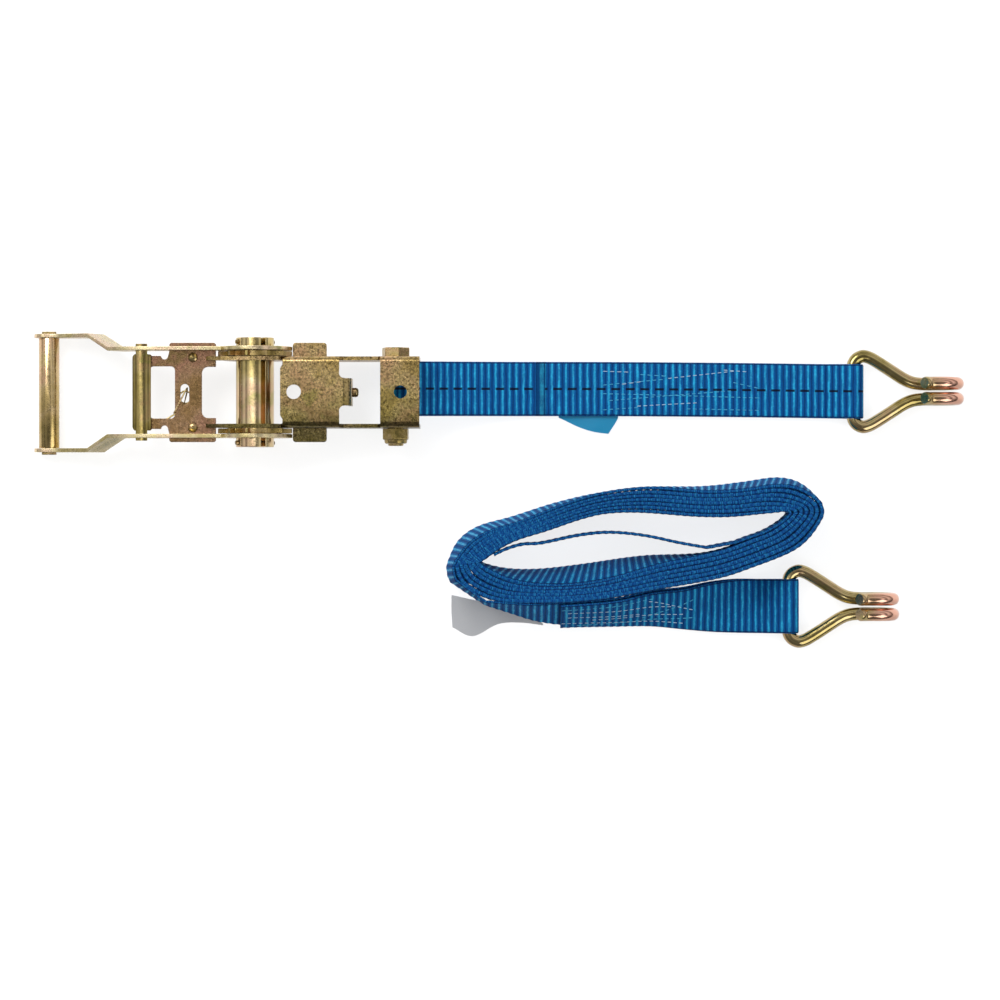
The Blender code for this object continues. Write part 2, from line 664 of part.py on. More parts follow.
def make_short_strap(finish, label_finish, parent):
    route = smooth_route(short_strap_route(), 3)
    upper, lower = [], []
    for i, (x, z, thick) in enumerate(route):
        ahead, behind = route[min(i + 1, len(route) - 1)], route[max(i - 1, 0)]
        slope = Vector((ahead[0] - behind[0], ahead[1] - behind[1])).normalized()
        upper.append((x - slope.y * thick, z + slope.x * thick))
        lower.append((x + slope.y * thick, z - slope.x * thick))
    bolt, bar = route[0], route[-1]
    left = arc(bolt[0], bolt[1], bolt[2], 100, 260, 10)
    right = arc(bar[0], bar[1], bar[2], -80, 80, 10)
    outline = left + lower[1:-1] + right + upper[-2:0:-1]
    bolt_eye = eyelet(bolt[0], bolt[1], BOLT_R + GAP, 1, (19 * MM, -2.0 * MM))
    bar_eye = eyelet(bar[0], bar[1], WIRE_R + HOOK_SLACK, -1, (-13 * MM, -2.2 * MM))
    strap = across(blank([outline, bolt_eye, bar_eye], WEB_WIDTH), SHORT_HOOK_Y)
    length = bar[0] - bolt[0]

    def strayed(p):
        t = min(1, max(0, (bar[0] - p.x) / length))
        return p + Vector((0, SHORT_SKEW * t + SHORT_BOW * 4 * t * (1 - t), 0))

    place(strap, strayed)
    add("short_strap", strap, finish, parent)
    edge = SHORT_HOOK_Y - WEB_WIDTH / 2 + 1.0 * MM
    tag = [(37 * MM, edge), (70 * MM, edge - 10.6 * MM), (74.5 * MM, edge - 1.5 * MM), (73 * MM, edge)]
    label = place(blank([tag], 0.6 * MM), lambda p: p + Vector((0, 0, 0.4 * MM)))
    add("short_strap_label", label, label_finish, parent)


# The wound strap stands on its edge. These are its outer and inner outlines seen from above, in millimetres.
BUNDLE_OUTER = (
    (-34.6, -49.0),
    (-27.6, -33.9),
    (-14.8, -24.4),
    (6.4, -18.3),
    (34.7, -9.2),
    (62.9, -2.6),
    (92.0, 1.3),
    (130.3, 1.9),
    (157.3, 5.1),
    (179.8, 8.3),
    (195.0, 4.6),
    (206.0, -6.0),
    (206.5, -18.5),
    (190.7, -37.4),
    (160.0, -50.5),
    (138.0, -57.3),
    (99.0, -64.6),
    (64.0, -70.6),
    (30.0, -73.0),
    (-4.5, -72.3),
    (-26.3, -65.2),
)
BUNDLE_INNER = (
    (-13.0, -47.0),
    (8.0, -33.8),
    (32.0, -26.2),
    (50.7, -20.0),
    (67.4, -16.2),
    (90.0, -15.6),
    (125.8, -18.0),
    (148.3, -18.0),
    (170.8, -15.4),
    (184.0, -13.4),
    (179.0, -20.0),
    (168.0, -26.4),
    (156.0, -30.6),
    (139.3, -36.9),
    (121.3, -39.5),
    (94.4, -39.4),
    (75.8, -41.3),
    (55.2, -44.8),
    (30.2, -48.7),
    (8.0, -49.6),
)

# The single turn of the strap's free end that crosses the bundle's middle, as x and y in millimetres.
FREE_END = (
    (5.0, -38.0),
    (14.0, -35.6),
    (26.0, -34.6),
    (50.0, -29.4),
    (70.0, -27.6),
    (92.0, -29.6),
    (114.0, -34.2),
    (130.0, -35.6),
)

# The sewn end: x, the near edge's y, and how far the webbing leans up against the bundle, in degrees.
SEWN_END = (
    (30.0, -86.2, 68.5),
    (50.0, -85.9, 68),
    (75.0, -85.6, 65),
    (97.0, -85.9, 55),
    (118.0, -88.1, 41),
    (136.0, -90.6, 24),
    (152.0, -92.1, 9),
    (164.7, -92.9, 0),
)


def ribbon(stations, thickness, width=WEB_WIDTH):
    """A flat strap through stations: x, y, z of its near edge, heading and lean in radians."""
    strap = bmesh.new()
    rings = []
    for x, y, z, heading, lean in stations:
        flat = math.cos(lean)
        side = Vector((-math.sin(heading) * flat, math.cos(heading) * flat, math.sin(lean)))
        along = Vector((math.cos(heading), math.sin(heading), 0))
        out = along.cross(side)
        near = Vector((x, y, z))
        corners = (near, near + side * width, near + side * width + out * thickness, near + out * thickness)
        rings.append([strap.verts.new(c) for c in corners])
    for a, b in zip(rings, rings[1:]):
        for i in range(4):
            strap.faces.new((a[i], a[(i + 1) % 4], b[(i + 1) % 4], b[i]))
    strap.faces.new(rings[0])
    strap.faces.new(reversed(rings[-1]))
    return strap


def outline_of(points):
    return smooth_route([(x * MM, y * MM) for x, y in points], 3, closed=True)


def make_long_strap(finish, label_finish, parent):
    ring = blank([outline_of(BUNDLE_OUTER), outline_of(BUNDLE_INNER)], WEB_WIDTH)
    add("long_strap_bundle", place(ring, lambda p: p + Vector((0, 0, WEB_WIDTH / 2))), finish, parent)
    line = smooth_route([(x * MM, y * MM) for x, y in FREE_END], 3)
    stations = []
    for i, (x, y) in enumerate(line):
        ahead, behind = line[min(i + 1, len(line) - 1)], line[max(i - 1, 0)]
        heading = math.atan2(ahead[1] - behind[1], ahead[0] - behind[0])
        stations.append((x, y, 0.3 * MM, heading, math.pi / 2))
    add("long_strap_free_end", ribbon(stations, WEB_THICK, WEB_WIDTH - 1 * MM), finish, parent)
    make_sewn_end(finish, parent)
    tag = [(-30.6, -69.4), (-16, -73.3), (4, -78.8), (26, -85.4)]
    tag += [(18, -86.4), (-2, -88), (-18.5, -95.0), (-30.6, -89.4)]
    label = blank([[(x * MM, y * MM) for x, y in tag]], 0.6 * MM)
    add("long_strap_label", place(label, lambda p: p + Vector((0, 0, 0.4 * MM))), label_finish, parent)


def make_sewn_end(finish, parent):
    """The doubled end of the long strap, flat at the hook and leaning up on the bundle."""
    stations = []
    for x, y, lean in smooth_route(SEWN_END, 2):
        tilt = math.radians(lean)
        # The lower corner of a leaning strap is its thickness out from the near edge.
        stations.append((x * MM, y * MM, 0.0, 0, max(tilt, 0)))
    strap = ribbon(stations, SEWN_THICK)
    low = min(v.co.z for v in strap.verts)
    bmesh.ops.translate(strap, vec=(0, 0, -low), verts=strap.verts)
    add("long_strap_sewn_end", strap, finish, parent)
    start, flat = 165.0 * MM, SEWN_THICK / 2
    eye_r = WIRE_R + HOOK_SLACK + WEB_THICK
    route = smooth_route(
        [(start, flat, flat), (LONG_HOOK_X - 12 * MM, 4.6 * MM, 3.9 * MM), (LONG_HOOK_X, HOOK_BAR_Z, eye_r)],
        3,
    )
    upper = [(x, z + thick) for x, z, thick in route[:-1]]
    lower = [(x, z - thick) for x, z, thick in route[:-1]]
    outline = lower + arc(LONG_HOOK_X, HOOK_BAR_Z, eye_r, -80, 80, 10) + upper[::-1]
    hole = eyelet(LONG_HOOK_X, HOOK_BAR_Z, WIRE_R + HOOK_SLACK, -1, (-12 * MM, -2.0 * MM))
    eye = across(blank([outline, hole], WEB_WIDTH), LONG_Y)
    add("long_strap_hook_eye", eye, finish, parent)


def main():
    clear_scene()
    zinc = material("yellow_zinc", (0.72, 0.60, 0.38), 0.28, 1.0)
    steel = material("spring_steel", (0.55, 0.53, 0.48), 0.35, 1.0)
    wire_zinc = material("hook_zinc", (0.50, 0.43, 0.26), 0.30, 1.0)
    blue = material("blue_webbing", (0.01, 0.16, 0.42), 0.75, 0.0)
    blue_label = material("blue_label", (0.02, 0.35, 0.72), 0.45, 0.0)
    white_label = material("white_label", (0.62, 0.64, 0.66), 0.55, 0.0)

    root = pivot("set", (1.8 * MM, 0.2 * MM, 0))
    spindle_axis = pivot("spindle_axis", (SPINDLE_X, SHORT_Y, SPINDLE_Z), root)
    make_frame(zinc, spindle_axis)
    make_bolt(zinc, spindle_axis)
    make_base_pawl(zinc, spindle_axis)
    make_base_spring(steel, spindle_axis)
    make_spindle(zinc, spindle_axis)
    handle_axis = pivot("handle_axis", (SPINDLE_X, SHORT_Y, SPINDLE_Z), root)
    make_handle(zinc, handle_axis)
    make_handle_pawl(zinc, handle_axis)
    make_handle_spring(steel, handle_axis)
    make_short_strap(blue, blue_label, root)
    make_long_strap(blue, white_label, root)
    short_bar = pivot("short_hook_bar", (SHORT_HOOK_X, SHORT_HOOK_Y, HOOK_BAR_Z), root)
    make_hook("short_strap_hook", wire_zinc, short_bar)
    make_hook("long_strap_hook", wire_zinc, pivot("long_hook_bar", (LONG_HOOK_X, LONG_Y, HOOK_BAR_Z), root))


main()
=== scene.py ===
import json
import math

import bmesh
import bpy
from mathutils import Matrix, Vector


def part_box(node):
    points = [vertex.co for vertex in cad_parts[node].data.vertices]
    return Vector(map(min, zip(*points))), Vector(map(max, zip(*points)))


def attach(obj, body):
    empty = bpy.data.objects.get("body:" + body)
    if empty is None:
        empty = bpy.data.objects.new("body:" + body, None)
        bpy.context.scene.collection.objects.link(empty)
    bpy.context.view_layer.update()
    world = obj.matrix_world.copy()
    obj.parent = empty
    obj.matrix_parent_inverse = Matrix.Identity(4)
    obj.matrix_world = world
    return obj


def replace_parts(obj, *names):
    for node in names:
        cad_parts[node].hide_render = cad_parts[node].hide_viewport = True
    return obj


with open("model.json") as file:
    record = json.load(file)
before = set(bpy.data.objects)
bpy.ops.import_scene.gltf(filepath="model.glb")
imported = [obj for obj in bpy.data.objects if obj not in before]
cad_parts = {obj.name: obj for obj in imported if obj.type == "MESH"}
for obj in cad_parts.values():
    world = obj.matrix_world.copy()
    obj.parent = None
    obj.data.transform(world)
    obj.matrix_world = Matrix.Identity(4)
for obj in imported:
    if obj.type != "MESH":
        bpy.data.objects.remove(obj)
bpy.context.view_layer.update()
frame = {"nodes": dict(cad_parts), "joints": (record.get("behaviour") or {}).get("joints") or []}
nodes = frame["nodes"]
mm = 0.001
sharpAngle = math.radians(40)  # between faces that meet in an edge and not in a curve

# where the set's own pieces lie, read from the frame
boltLow, boltHigh = (Vector(c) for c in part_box("tail_bolt"))
eyeLow, eyeHigh = (Vector(c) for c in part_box("long_strap_hook_eye"))
boltX, boltZ = (boltLow.x + boltHigh.x) / 2, (boltLow.z + boltHigh.z) / 2
longY = (eyeLow.y + eyeHigh.y) / 2
pivots = {joint["child"]: Vector(joint["pos_m"]) for joint in frame["joints"] if joint["type"] == "hinge"}
spindle, shortBar, longBar = pivots["spindle"], pivots["short_hook"], pivots["long_hook"]
webWidth = eyeHigh.y - eyeLow.y
print("frame loaded")


# small tools

def selectOnly(piece):
    for thing in list(bpy.context.selected_objects):
        thing.select_set(False)
    piece.select_set(True)
    bpy.context.view_layer.objects.active = piece


def catmull(points, perSpan):  # an open, smooth curve through every point
    count, out = len(points), []
    for i in range(count - 1):
        b, c = points[i], points[i + 1]
        a = points[i - 1] if i else [2 * p - q for p, q in zip(b, c)]
        d = points[i + 2] if i + 2 < count else [2 * q - p for p, q in zip(b, c)]
        for k in range(perSpan):
            t = k / perSpan
            out.append([
                0.5 * (2 * q + (r - p) * t + (2 * p - 5 * q + 4 * r - s) * t**2
                       + (3 * q - p - 3 * r + s) * t**3)
                for p, q, r, s in zip(a, b, c, d)
            ])
    return out + [list(points[-1])]


def evenly(rows, step=None, count=None, closed=False):  # each row is a place, then what goes with it
    rows = [list(row) for row in rows]
    if closed:
        rows.append(list(rows[0]))
    far = [0.0]
    for a, b in zip(rows, rows[1:]):
        far.append(far[-1] + math.dist(a[:3], b[:3]))
    pieces = count or max(2, round(far[-1] / step))
    out, k = [], 0
    for i in range(pieces if closed else pieces + 1):
        want = far[-1] * i / pieces
        while k < len(far) - 2 and far[k + 1] < want:
            k += 1
        t = (want - far[k]) / max(1e-12, far[k + 1] - far[k])
        out.append([p + (q - p) * t for p, q in zip(rows[k], rows[k + 1])])
    return out, far[-1]


def arcPoints(cx, cz, radius, start, end, steps):  # start and end in degrees
    turns = [math.radians(start + (end - start) * i / steps) for i in range(steps + 1)]
    return [(cx + radius * math.cos(a), cz + radius * math.sin(a)) for a in turns]


def finishPiece(piece, material, body):  # merged and facing out, then put on its body
    mesh = piece.data
    if material.name not in mesh.materials:
        mesh.materials.clear()
        mesh.materials.append(material)
    solid = bmesh.new()
    solid.from_mesh(mesh)
    bmesh.ops.remove_doubles(solid, verts=solid.verts, dist=1e-6)
    bmesh.ops.recalc_face_normals(solid, faces=solid.faces)
    if solid.calc_volume(signed=True) < 0:
        bmesh.ops.reverse_faces(solid, faces=solid.faces)
    solid.to_mesh(mesh)
    solid.free()
    mesh.shade_smooth()
    mesh.set_sharp_from_angle(angle=sharpAngle)
    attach(piece, body)
    return piece


def newPiece(name, verts, faces):
    mesh = bpy.data.meshes.new(name)
    mesh.from_pydata([tuple(v) for v in verts], [], faces)
    piece = bpy.data.objects.new(name, mesh)
    bpy.context.scene.collection.objects.link(piece)
    return piece


# shader groups

def startGroup(name, inputs, outputs):
    group = bpy.data.node_groups.new(name, "ShaderNodeTree")
    for label, kind, value in inputs:
        socket = group.interface.new_socket(label, in_out="INPUT", socket_type=f"NodeSocket{kind}")
        if value is not None:
            socket.default_value = value
    for label, kind in outputs:
        group.interface.new_socket(label, in_out="OUTPUT", socket_type=f"NodeSocket{kind}")
    return group, group.nodes.new("NodeGroupInput"), group.nodes.new("NodeGroupOutput")


def feed(tree, socket, value):
    if isinstance(value, bpy.types.NodeSocket):
        tree.links.new(value, socket)
    else:
        socket.default_value = value


def sums(tree, operation, *values):
    node = tree.nodes.new("ShaderNodeMath")
    node.operation = operation
    for socket, value in zip(node.inputs, values):
        feed(tree, socket, value)
    return node.outputs[0]


def times(tree, first, second):
    return sums(tree, "MULTIPLY", first, second)


def plus(tree, first, second):
    return sums(tree, "ADD", first, second)


def minus(tree, first, second):
    return sums(tree, "SUBTRACT", first, second)


def split(tree, vector):  # its X, Y and Z
    node = tree.nodes.new("ShaderNodeSeparateXYZ")
    feed(tree, node.inputs[0], vector)
    return node.outputs


def coordinates(tree, kind):
    return tree.nodes.new("ShaderNodeTexCoord").outputs[kind]


def spread(tree, value, low, high, toLow=0.0, toHigh=1.0, smooth=True):
    node = tree.nodes.new("ShaderNodeMapRange")
    node.interpolation_type = "SMOOTHSTEP" if smooth else "LINEAR"
    for socket, given in zip(node.inputs, (value, low, high, toLow, toHigh)):
        feed(tree, socket, given)
    return node.outputs[0]


def blendColour(tree, amount, first, second, mode="MIX"):
    node = tree.nodes.new("ShaderNodeMix")
    node.data_type = "RGBA"
    node.blend_type = mode
    feed(tree, node.inputs[0], amount)
    feed(tree, node.inputs[6], first)
    feed(tree, node.inputs[7], second)
    return node.outputs[2]


def noise(tree, where, scale, detail=3.0, roughness=0.55):
    node = tree.nodes.new("ShaderNodeTexNoise")
    feed(tree, node.inputs["Vector"], where)
    feed(tree, node.inputs["Scale"], scale)
    node.inputs["Detail"].default_value = detail
    node.inputs["Roughness"].default_value = roughness
    return node.outputs["Fac"]


def stretched(tree, where, sizes):
    node = tree.nodes.new("ShaderNodeMapping")
    feed(tree, node.inputs["Vector"], where)
    node.inputs["Scale"].default_value = sizes
    return node.outputs["Vector"]


def colours(tree, value, stops):
    node = tree.nodes.new("ShaderNodeValToRGB")
    ramp = node.color_ramp
    while len(ramp.elements) < len(stops):
        ramp.elements.new(0.5)
    for element, (place, colour) in zip(ramp.elements, stops):
        element.position = place
        element.color = (*colour, 1)
    feed(tree, node.inputs[0], value)
    return node.outputs[0]


def makeZincGroup():  # a mottled, rainbow film with brown stains and dark flecks
    group, given, result = startGroup(
        "zincPassivation",
        [
            ("Place", "Vector", None), ("Blotch", "Float", 60.0), ("Tint", "Color", (1, 1, 1, 1)),
            ("Brown", "Float", 0.3), ("Fleck", "Float", 0.2),
        ],
        [("Color", "Color"), ("Roughness", "Float"), ("Height", "Float")],
    )
    place = given.outputs["Place"]
    film = noise(group, place, given.outputs["Blotch"], 4.0, 0.6)
    rainbow = colours(group, film, [
        (0.30, (0.46, 0.40, 0.17)),
        (0.42, (0.72, 0.60, 0.30)),
        (0.50, (0.84, 0.72, 0.46)),
        (0.58, (0.86, 0.64, 0.46)),
        (0.66, (0.62, 0.58, 0.28)),
        (0.78, (0.80, 0.52, 0.42)),
    ])
    patches = spread(group, noise(group, place, 24.0, 5.0, 0.65), 0.52, 0.75)
    brown = times(group, patches, given.outputs["Brown"])
    stained = blendColour(group, brown, rainbow, (0.22, 0.13, 0.08, 1))
    flecks = spread(group, noise(group, place, 620.0, 3.0, 0.8), 0.42, 0.66, 0.0, given.outputs["Fleck"])
    flecked = blendColour(group, flecks, stained, (0.10, 0.08, 0.04, 1))
    tinted = blendColour(group, 1.0, flecked, given.outputs["Tint"], "MULTIPLY")
    rolled = noise(group, place, 380.0, 4.0, 0.7)
    grain = noise(group, place, 1400.0, 2.0)
    group.links.new(tinted, result.inputs["Color"])
    rough = plus(group, spread(group, rolled, 0.3, 0.7, 0.20, 0.34), times(group, patches, 0.14))
    group.links.new(rough, result.inputs["Roughness"])
    height = plus(group, times(group, rolled, 0.6), times(group, grain, 0.4))
    group.links.new(height, result.inputs["Height"])
    return group


def makeWeaveGroup():  # U is the distance across the webbing and V along it, both in millimetres
    group, given, result = startGroup(
        "webbingWeave",
        [
            ("UV", "Vector", None), ("Pitch", "Float", 4.6), ("Tracer", "Float", 0.0),
            ("Width", "Float", 35.0), ("Bright", "Float", 1.0),
        ],
        [("Color", "Color"), ("Roughness", "Float"), ("Height", "Float")],
    )
    place = given.outputs["UV"]
    u, v, _ = split(group, place)
    # the weft's lines run across, a little ragged, with a groove between each two; the grooves carry painted
    # shade, and the lines a painted cyan highlight with painted glints
    uneven = noise(group, stretched(group, place, (0.25, 1.0, 1)), 0.5, 2.0)
    teeth = sums(group, "PINGPONG", u, 0.5)
    along = plus(group, v, times(group, teeth, 0.8))
    along = plus(group, along, times(group, uneven, 1.3))
    phase = sums(group, "FRACT", sums(group, "DIVIDE", along, given.outputs["Pitch"]))
    fromLine = sums(group, "ABSOLUTE", minus(group, phase, 0.5))
    line = spread(group, fromLine, 0.07, 0.21, 1.0, 0.0)
    groove = spread(group, fromLine, 0.30, 0.50, 0.0, 1.0)
    yarn = spread(group, sums(group, "PINGPONG", u, 0.42), 0.05, 0.36, 0.0, 1.0)
    specks = noise(group, stretched(group, place, (2.2, 2.2, 1)), 1.0, 3.0, 0.6)
    strength = noise(group, stretched(group, place, (0.12, 0.4, 1)), 1.0, 2.0)
    strength = spread(group, strength, 0.35, 0.65, 0.45, 1.0)
    base = colours(group, specks, [
        (0.25, (0.001, 0.028, 0.130)),
        (0.50, (0.002, 0.070, 0.245)),
        (0.75, (0.004, 0.140, 0.370)),
    ])
    # painted shade in the grooves between the ribs
    dark = blendColour(group, times(group, groove, 0.72), base, (0.001, 0.016, 0.085, 1))
    # painted highlight: the ribs' crests lit cyan
    lit = times(group, times(group, line, strength), plus(group, times(group, yarn, 0.7), 0.35))
    cyan = blendColour(group, lit, dark, (0.020, 0.430, 0.720, 1))
    # painted glints: pale specks on the lit crests
    paintedGlint = times(group, times(group, line, yarn), spread(group, specks, 0.52, 0.70, 0.0, 0.55))
    cyan = blendColour(group, paintedGlint, cyan, (0.160, 0.680, 0.880, 1))
    # the side edges are plain and darker, with a line of painted shade just inside them that stands for the
    # dark gaps between wound layers
    half = sums(group, "DIVIDE", given.outputs["Width"], 2.0)
    fromMiddle = sums(group, "ABSOLUTE", minus(group, u, half))
    inset = minus(group, half, fromMiddle)
    edge = spread(group, inset, 0.2, 1.6, 1.0, 0.0)
    selvedge = colours(group, noise(group, stretched(group, place, (1.1, 1.1, 1)), 1.3, 2.0, 0.7), [
        (0.38, (0.001, 0.012, 0.075)),
        (0.52, (0.002, 0.055, 0.230)),
        (0.66, (0.020, 0.220, 0.480)),
    ])
    woven = blendColour(group, times(group, edge, 0.85), cyan, selvedge)
    # painted shade: a dark line just inside each edge, for the gaps between the wound layers
    gapShadeOut, gapShadeIn = spread(group, inset, 0.25, 0.7, 0.0, 0.85), spread(group, inset, 0.8, 1.4, 1.0, 0.0)
    woven = blendColour(group, times(group, gapShadeOut, gapShadeIn), woven, (0.001, 0.006, 0.035, 1))
    # a dashed tracer thread runs down the middle
    dash = spread(group, sums(group, "FRACT", sums(group, "DIVIDE", v, 9.4)), 0.58, 0.66, 1.0, 0.0)
    tracer = times(group, dash, spread(group, fromMiddle, 0.5, 0.95, 1.0, 0.0))
    tracer = times(group, tracer, given.outputs["Tracer"])
    traced = blendColour(group, times(group, tracer, 0.95), woven, (0.002, 0.004, 0.012, 1))
    shade = group.nodes.new("ShaderNodeHueSaturation")
    group.links.new(traced, shade.inputs["Color"])
    group.links.new(given.outputs["Bright"], shade.inputs["Value"])
    group.links.new(shade.outputs[0], result.inputs["Color"])
    group.links.new(spread(group, line, 0.0, 1.0, 0.85, 0.55), result.inputs["Roughness"])
    height = plus(group, times(group, line, 0.5), times(group, yarn, 0.35))
    height = plus(group, height, times(group, specks, 0.35))
    group.links.new(minus(group, height, times(group, groove, 0.4)), result.inputs["Height"])
    return group


def makeThreadGroup():
    group, given, result = startGroup(
        "twistedThread",
        [("Place", "Vector", None), ("Color", "Color", (1, 1, 1, 1))],
        [("Color", "Color"), ("Height", "Float")],
    )
    fuzz = noise(group, given.outputs["Place"], 2600.0, 2.0)
    blued = spread(group, fuzz, 0.3, 0.7, 0.0, 0.5)
    dyed = blendColour(group, blued, given.outputs["Color"], (0.10, 0.30, 0.55, 1))
    group.links.new(dyed, result.inputs["Color"])
    group.links.new(fuzz, result.inputs["Height"])
    return group


zincGroup = makeZincGroup()
weaveGroup = makeWeaveGroup()
threadGroup = makeThreadGroup()


def startMaterial(name, group, coordinate="Object"):
    made = bpy.data.materials.new(name)
    made.use_nodes = True
    tree = made.node_tree
    shader = tree.nodes["Principled BSDF"]
    effect = tree.nodes.new("ShaderNodeGroup")
    effect.node_tree = group
    tree.links.new(coordinates(tree, coordinate), effect.inputs[0])
    return made, tree, shader, effect


def bumpFrom(tree, shader, height, strength, distance):
    bump = tree.nodes.new("ShaderNodeBump")
    bump.inputs["Strength"].default_value = strength
    bump.inputs["Distance"].default_value = distance
    tree.links.new(height, bump.inputs["Height"])
    tree.links.new(bump.outputs["Normal"], shader.inputs["Normal"])


def zincMaterial(name, blotch=60.0, tint=(1, 1, 1), brown=0.3, bump=0.12, fleck=0.2, rough=1.0):
    made, tree, shader, effect = startMaterial(name, zincGroup)
    effect.inputs["Blotch"].default_value = blotch
    effect.inputs["Tint"].default_value = (*tint, 1)
    effect.inputs["Brown"].default_value = brown
    shader.inputs["Metallic"].default_value = 1.0
    effect.inputs["Fleck"].default_value = fleck
    tree.links.new(effect.outputs["Color"], shader.inputs["Base Color"])
    tree.links.new(times(tree, effect.outputs["Roughness"], rough), shader.inputs["Roughness"])
    bumpFrom(tree, shader, effect.outputs["Height"], bump, 0.0002)
    return made


def webbingMaterial(name, pitch=4.6, tracer=0.0, bright=1.0):
    made, tree, shader, effect = startMaterial(name, weaveGroup, "UV")
    effect.inputs["Pitch"].default_value = pitch
    effect.inputs["Tracer"].default_value = tracer
    effect.inputs["Width"].default_value = webWidth / mm
    effect.inputs["Bright"].default_value = bright
    shader.inputs["Specular IOR Level"].default_value = 0.12
    tree.links.new(effect.outputs["Color"], shader.inputs["Base Color"])
    tree.links.new(effect.outputs["Roughness"], shader.inputs["Roughness"])
    bumpFrom(tree, shader, effect.outputs["Height"], 0.6, 0.0004)
    return made


tipCopper = {
    "out": (44 * mm, 60 * mm), "up": (12 * mm, 22 * mm),  # from the bar and the floor: none, then all
    "share": 0.85, "colour": (0.80, 0.43, 0.33, 1),
}
hookFinish = dict(blotch=45.0, tint=(0.60, 0.56, 0.42), brown=0.25, bump=0.01, fleck=0.0, rough=0.55)


def hookMaterial(name, bar):  # the tips show coppery where the plating is thin
    made = zincMaterial(name, **hookFinish)
    tree = made.node_tree
    colour = tree.nodes["Principled BSDF"].inputs["Base Color"]
    x, _, z = split(tree, coordinates(tree, "Object"))
    outwards = spread(tree, x, *(bar.x + far for far in tipCopper["out"]))
    upwards = spread(tree, z, *tipCopper["up"])
    tip = times(tree, times(tree, outwards, upwards), tipCopper["share"])
    tree.links.new(blendColour(tree, tip, colour.links[0].from_socket, tipCopper["colour"]), colour)
    return made


def clothMaterial(name, colour, rough=0.5):
    made, tree, shader, effect = startMaterial(name, threadGroup)
    effect.inputs["Color"].default_value = (*colour, 1)
    shader.inputs["Roughness"].default_value = rough
    pale = blendColour(tree, 0.12, (*colour, 1), effect.outputs["Color"])
    tree.links.new(pale, shader.inputs["Base Color"])
    bumpFrom(tree, shader, effect.outputs["Height"], 0.15, 0.0001)
    return made


def paintedShadeAndReflection(made, middle, halfWidth=24 * mm):  # painted shade and reflection: from dark and olive, near, to pale and pinkish, far, as the plates' reflections fall
    tree = made.node_tree
    colour = tree.nodes["Principled BSDF"].inputs["Base Color"]
    _, y, _ = split(tree, coordinates(tree, "Object"))
    # painted shade on the near side, painted pinkish reflection on the far side
    shade = colours(tree, spread(tree, y, middle - halfWidth, middle + halfWidth, 0, 1, False), [
        (0.04, (0.30, 0.31, 0.24)),
        (0.25, (0.70, 0.70, 0.54)),
        (0.60, (0.95, 0.92, 0.80)),
        (0.90, (1.00, 0.93, 0.86)),
    ])
    tree.links.new(blendColour(tree, 1.0, colour.links[0].from_socket, shade, "MULTIPLY"), colour)


zincFinishes = {
    "frame": dict(blotch=26, tint=(0.74, 0.66, 0.52), brown=0.55, bump=0.40, fleck=0.85),
    "pawl": dict(blotch=30, tint=(0.42, 0.30, 0.26), brown=0.50, bump=0.16, fleck=0.40),
    "handle": dict(blotch=35, tint=(1.00, 0.98, 0.92), brown=0.08, bump=0.04, fleck=0.04),
    "grip": dict(blotch=28, tint=(0.78, 0.68, 0.56), brown=0.20, bump=0.01, fleck=0.0, rough=0.9),
    "crossbar": dict(blotch=40, tint=(0.46, 0.42, 0.26), brown=0.25, bump=0.01, fleck=0.0, rough=0.6),
    "spindle": dict(blotch=30, tint=(0.90, 0.83, 0.72), brown=0.12, bump=0.01, fleck=0.0, rough=0.6),
    "wheel": dict(blotch=60, tint=(0.62, 0.53, 0.36), brown=0.45, bump=0.10, fleck=0.3),
    "bolt": dict(blotch=90, tint=(0.56, 0.49, 0.35), brown=0.40, bump=0.08, fleck=0.3),
    "spring": dict(blotch=120, tint=(0.70, 0.66, 0.50), brown=0.20),
}
zinc = {name: zincMaterial(name + "Zinc", **finish) for name, finish in zincFinishes.items()}
# the frame's colour gets painted shade on its near side and a painted pinkish reflection on its far side
paintedShadeAndReflection(zinc["frame"], spindle.y)
shortHookZinc = hookMaterial("shortHookZinc", shortBar)
longHookZinc = hookMaterial("longHookZinc", longBar)
# the long strap's copy is a little darker than the short strap's: painted shade for its bundle, seen edge-on
shortWebbing = webbingMaterial("shortWebbing", pitch=4.6, tracer=1.0, bright=1.35)
longWebbing = webbingMaterial("longWebbing", pitch=4.6, tracer=0.0, bright=1.25)
burntWebbing = webbingMaterial("burntWebbing", pitch=9.0, tracer=0.0, bright=0.8)
whiteThread = clothMaterial("whiteThread", (0.42, 0.60, 0.76))
cyanThread = clothMaterial("cyanThread", (0.05, 0.42, 0.68))
blueLabelCloth = clothMaterial("blueLabelCloth", (0.008, 0.27, 0.50), 0.35)
whiteLabelCloth = clothMaterial("whiteLabelCloth", (0.56, 0.56, 0.57), 0.45)
print("materials made")


# metal pieces keep the frame's shapes, with eased edges

metalPieces = {  # each one's finish, and how wide its eased edges are in millimetres
    "frame": ("frame", 0.35),
    "base_pawl": ("frame", 0.3),
    "base_pawl_guide_pin": ("bolt", 0.0),
    "base_pawl_spring": ("spring", 0.0),
    "tail_bolt": ("bolt", 0.3),
    "tail_nut": ("bolt", 0.3),
    "spindle_half_upper": ("spindle", 0.4),
    "spindle_half_lower": ("spindle", 0.4),
    "spindle_pin_left": ("bolt", 0.0),
    "spindle_pin_right": ("bolt", 0.0),
    "ratchet_wheel_left": ("wheel", 0.25),
    "ratchet_wheel_right": ("wheel", 0.25),
    "handle_plate_left": ("handle", 0.35),
    "handle_plate_right": ("handle", 0.35),
    "handle_grip": ("grip", 0.0),
    "grip_bar": ("bolt", 0.2),
    "handle_crossbar": ("crossbar", 0.3),
    "handle_pawl": ("pawl", 0.3),
    "handle_pawl_rivet_left": ("bolt", 0.0),
    "handle_pawl_rivet_right": ("bolt", 0.0),
    "handle_pawl_spring": ("spring", 0.0),
}


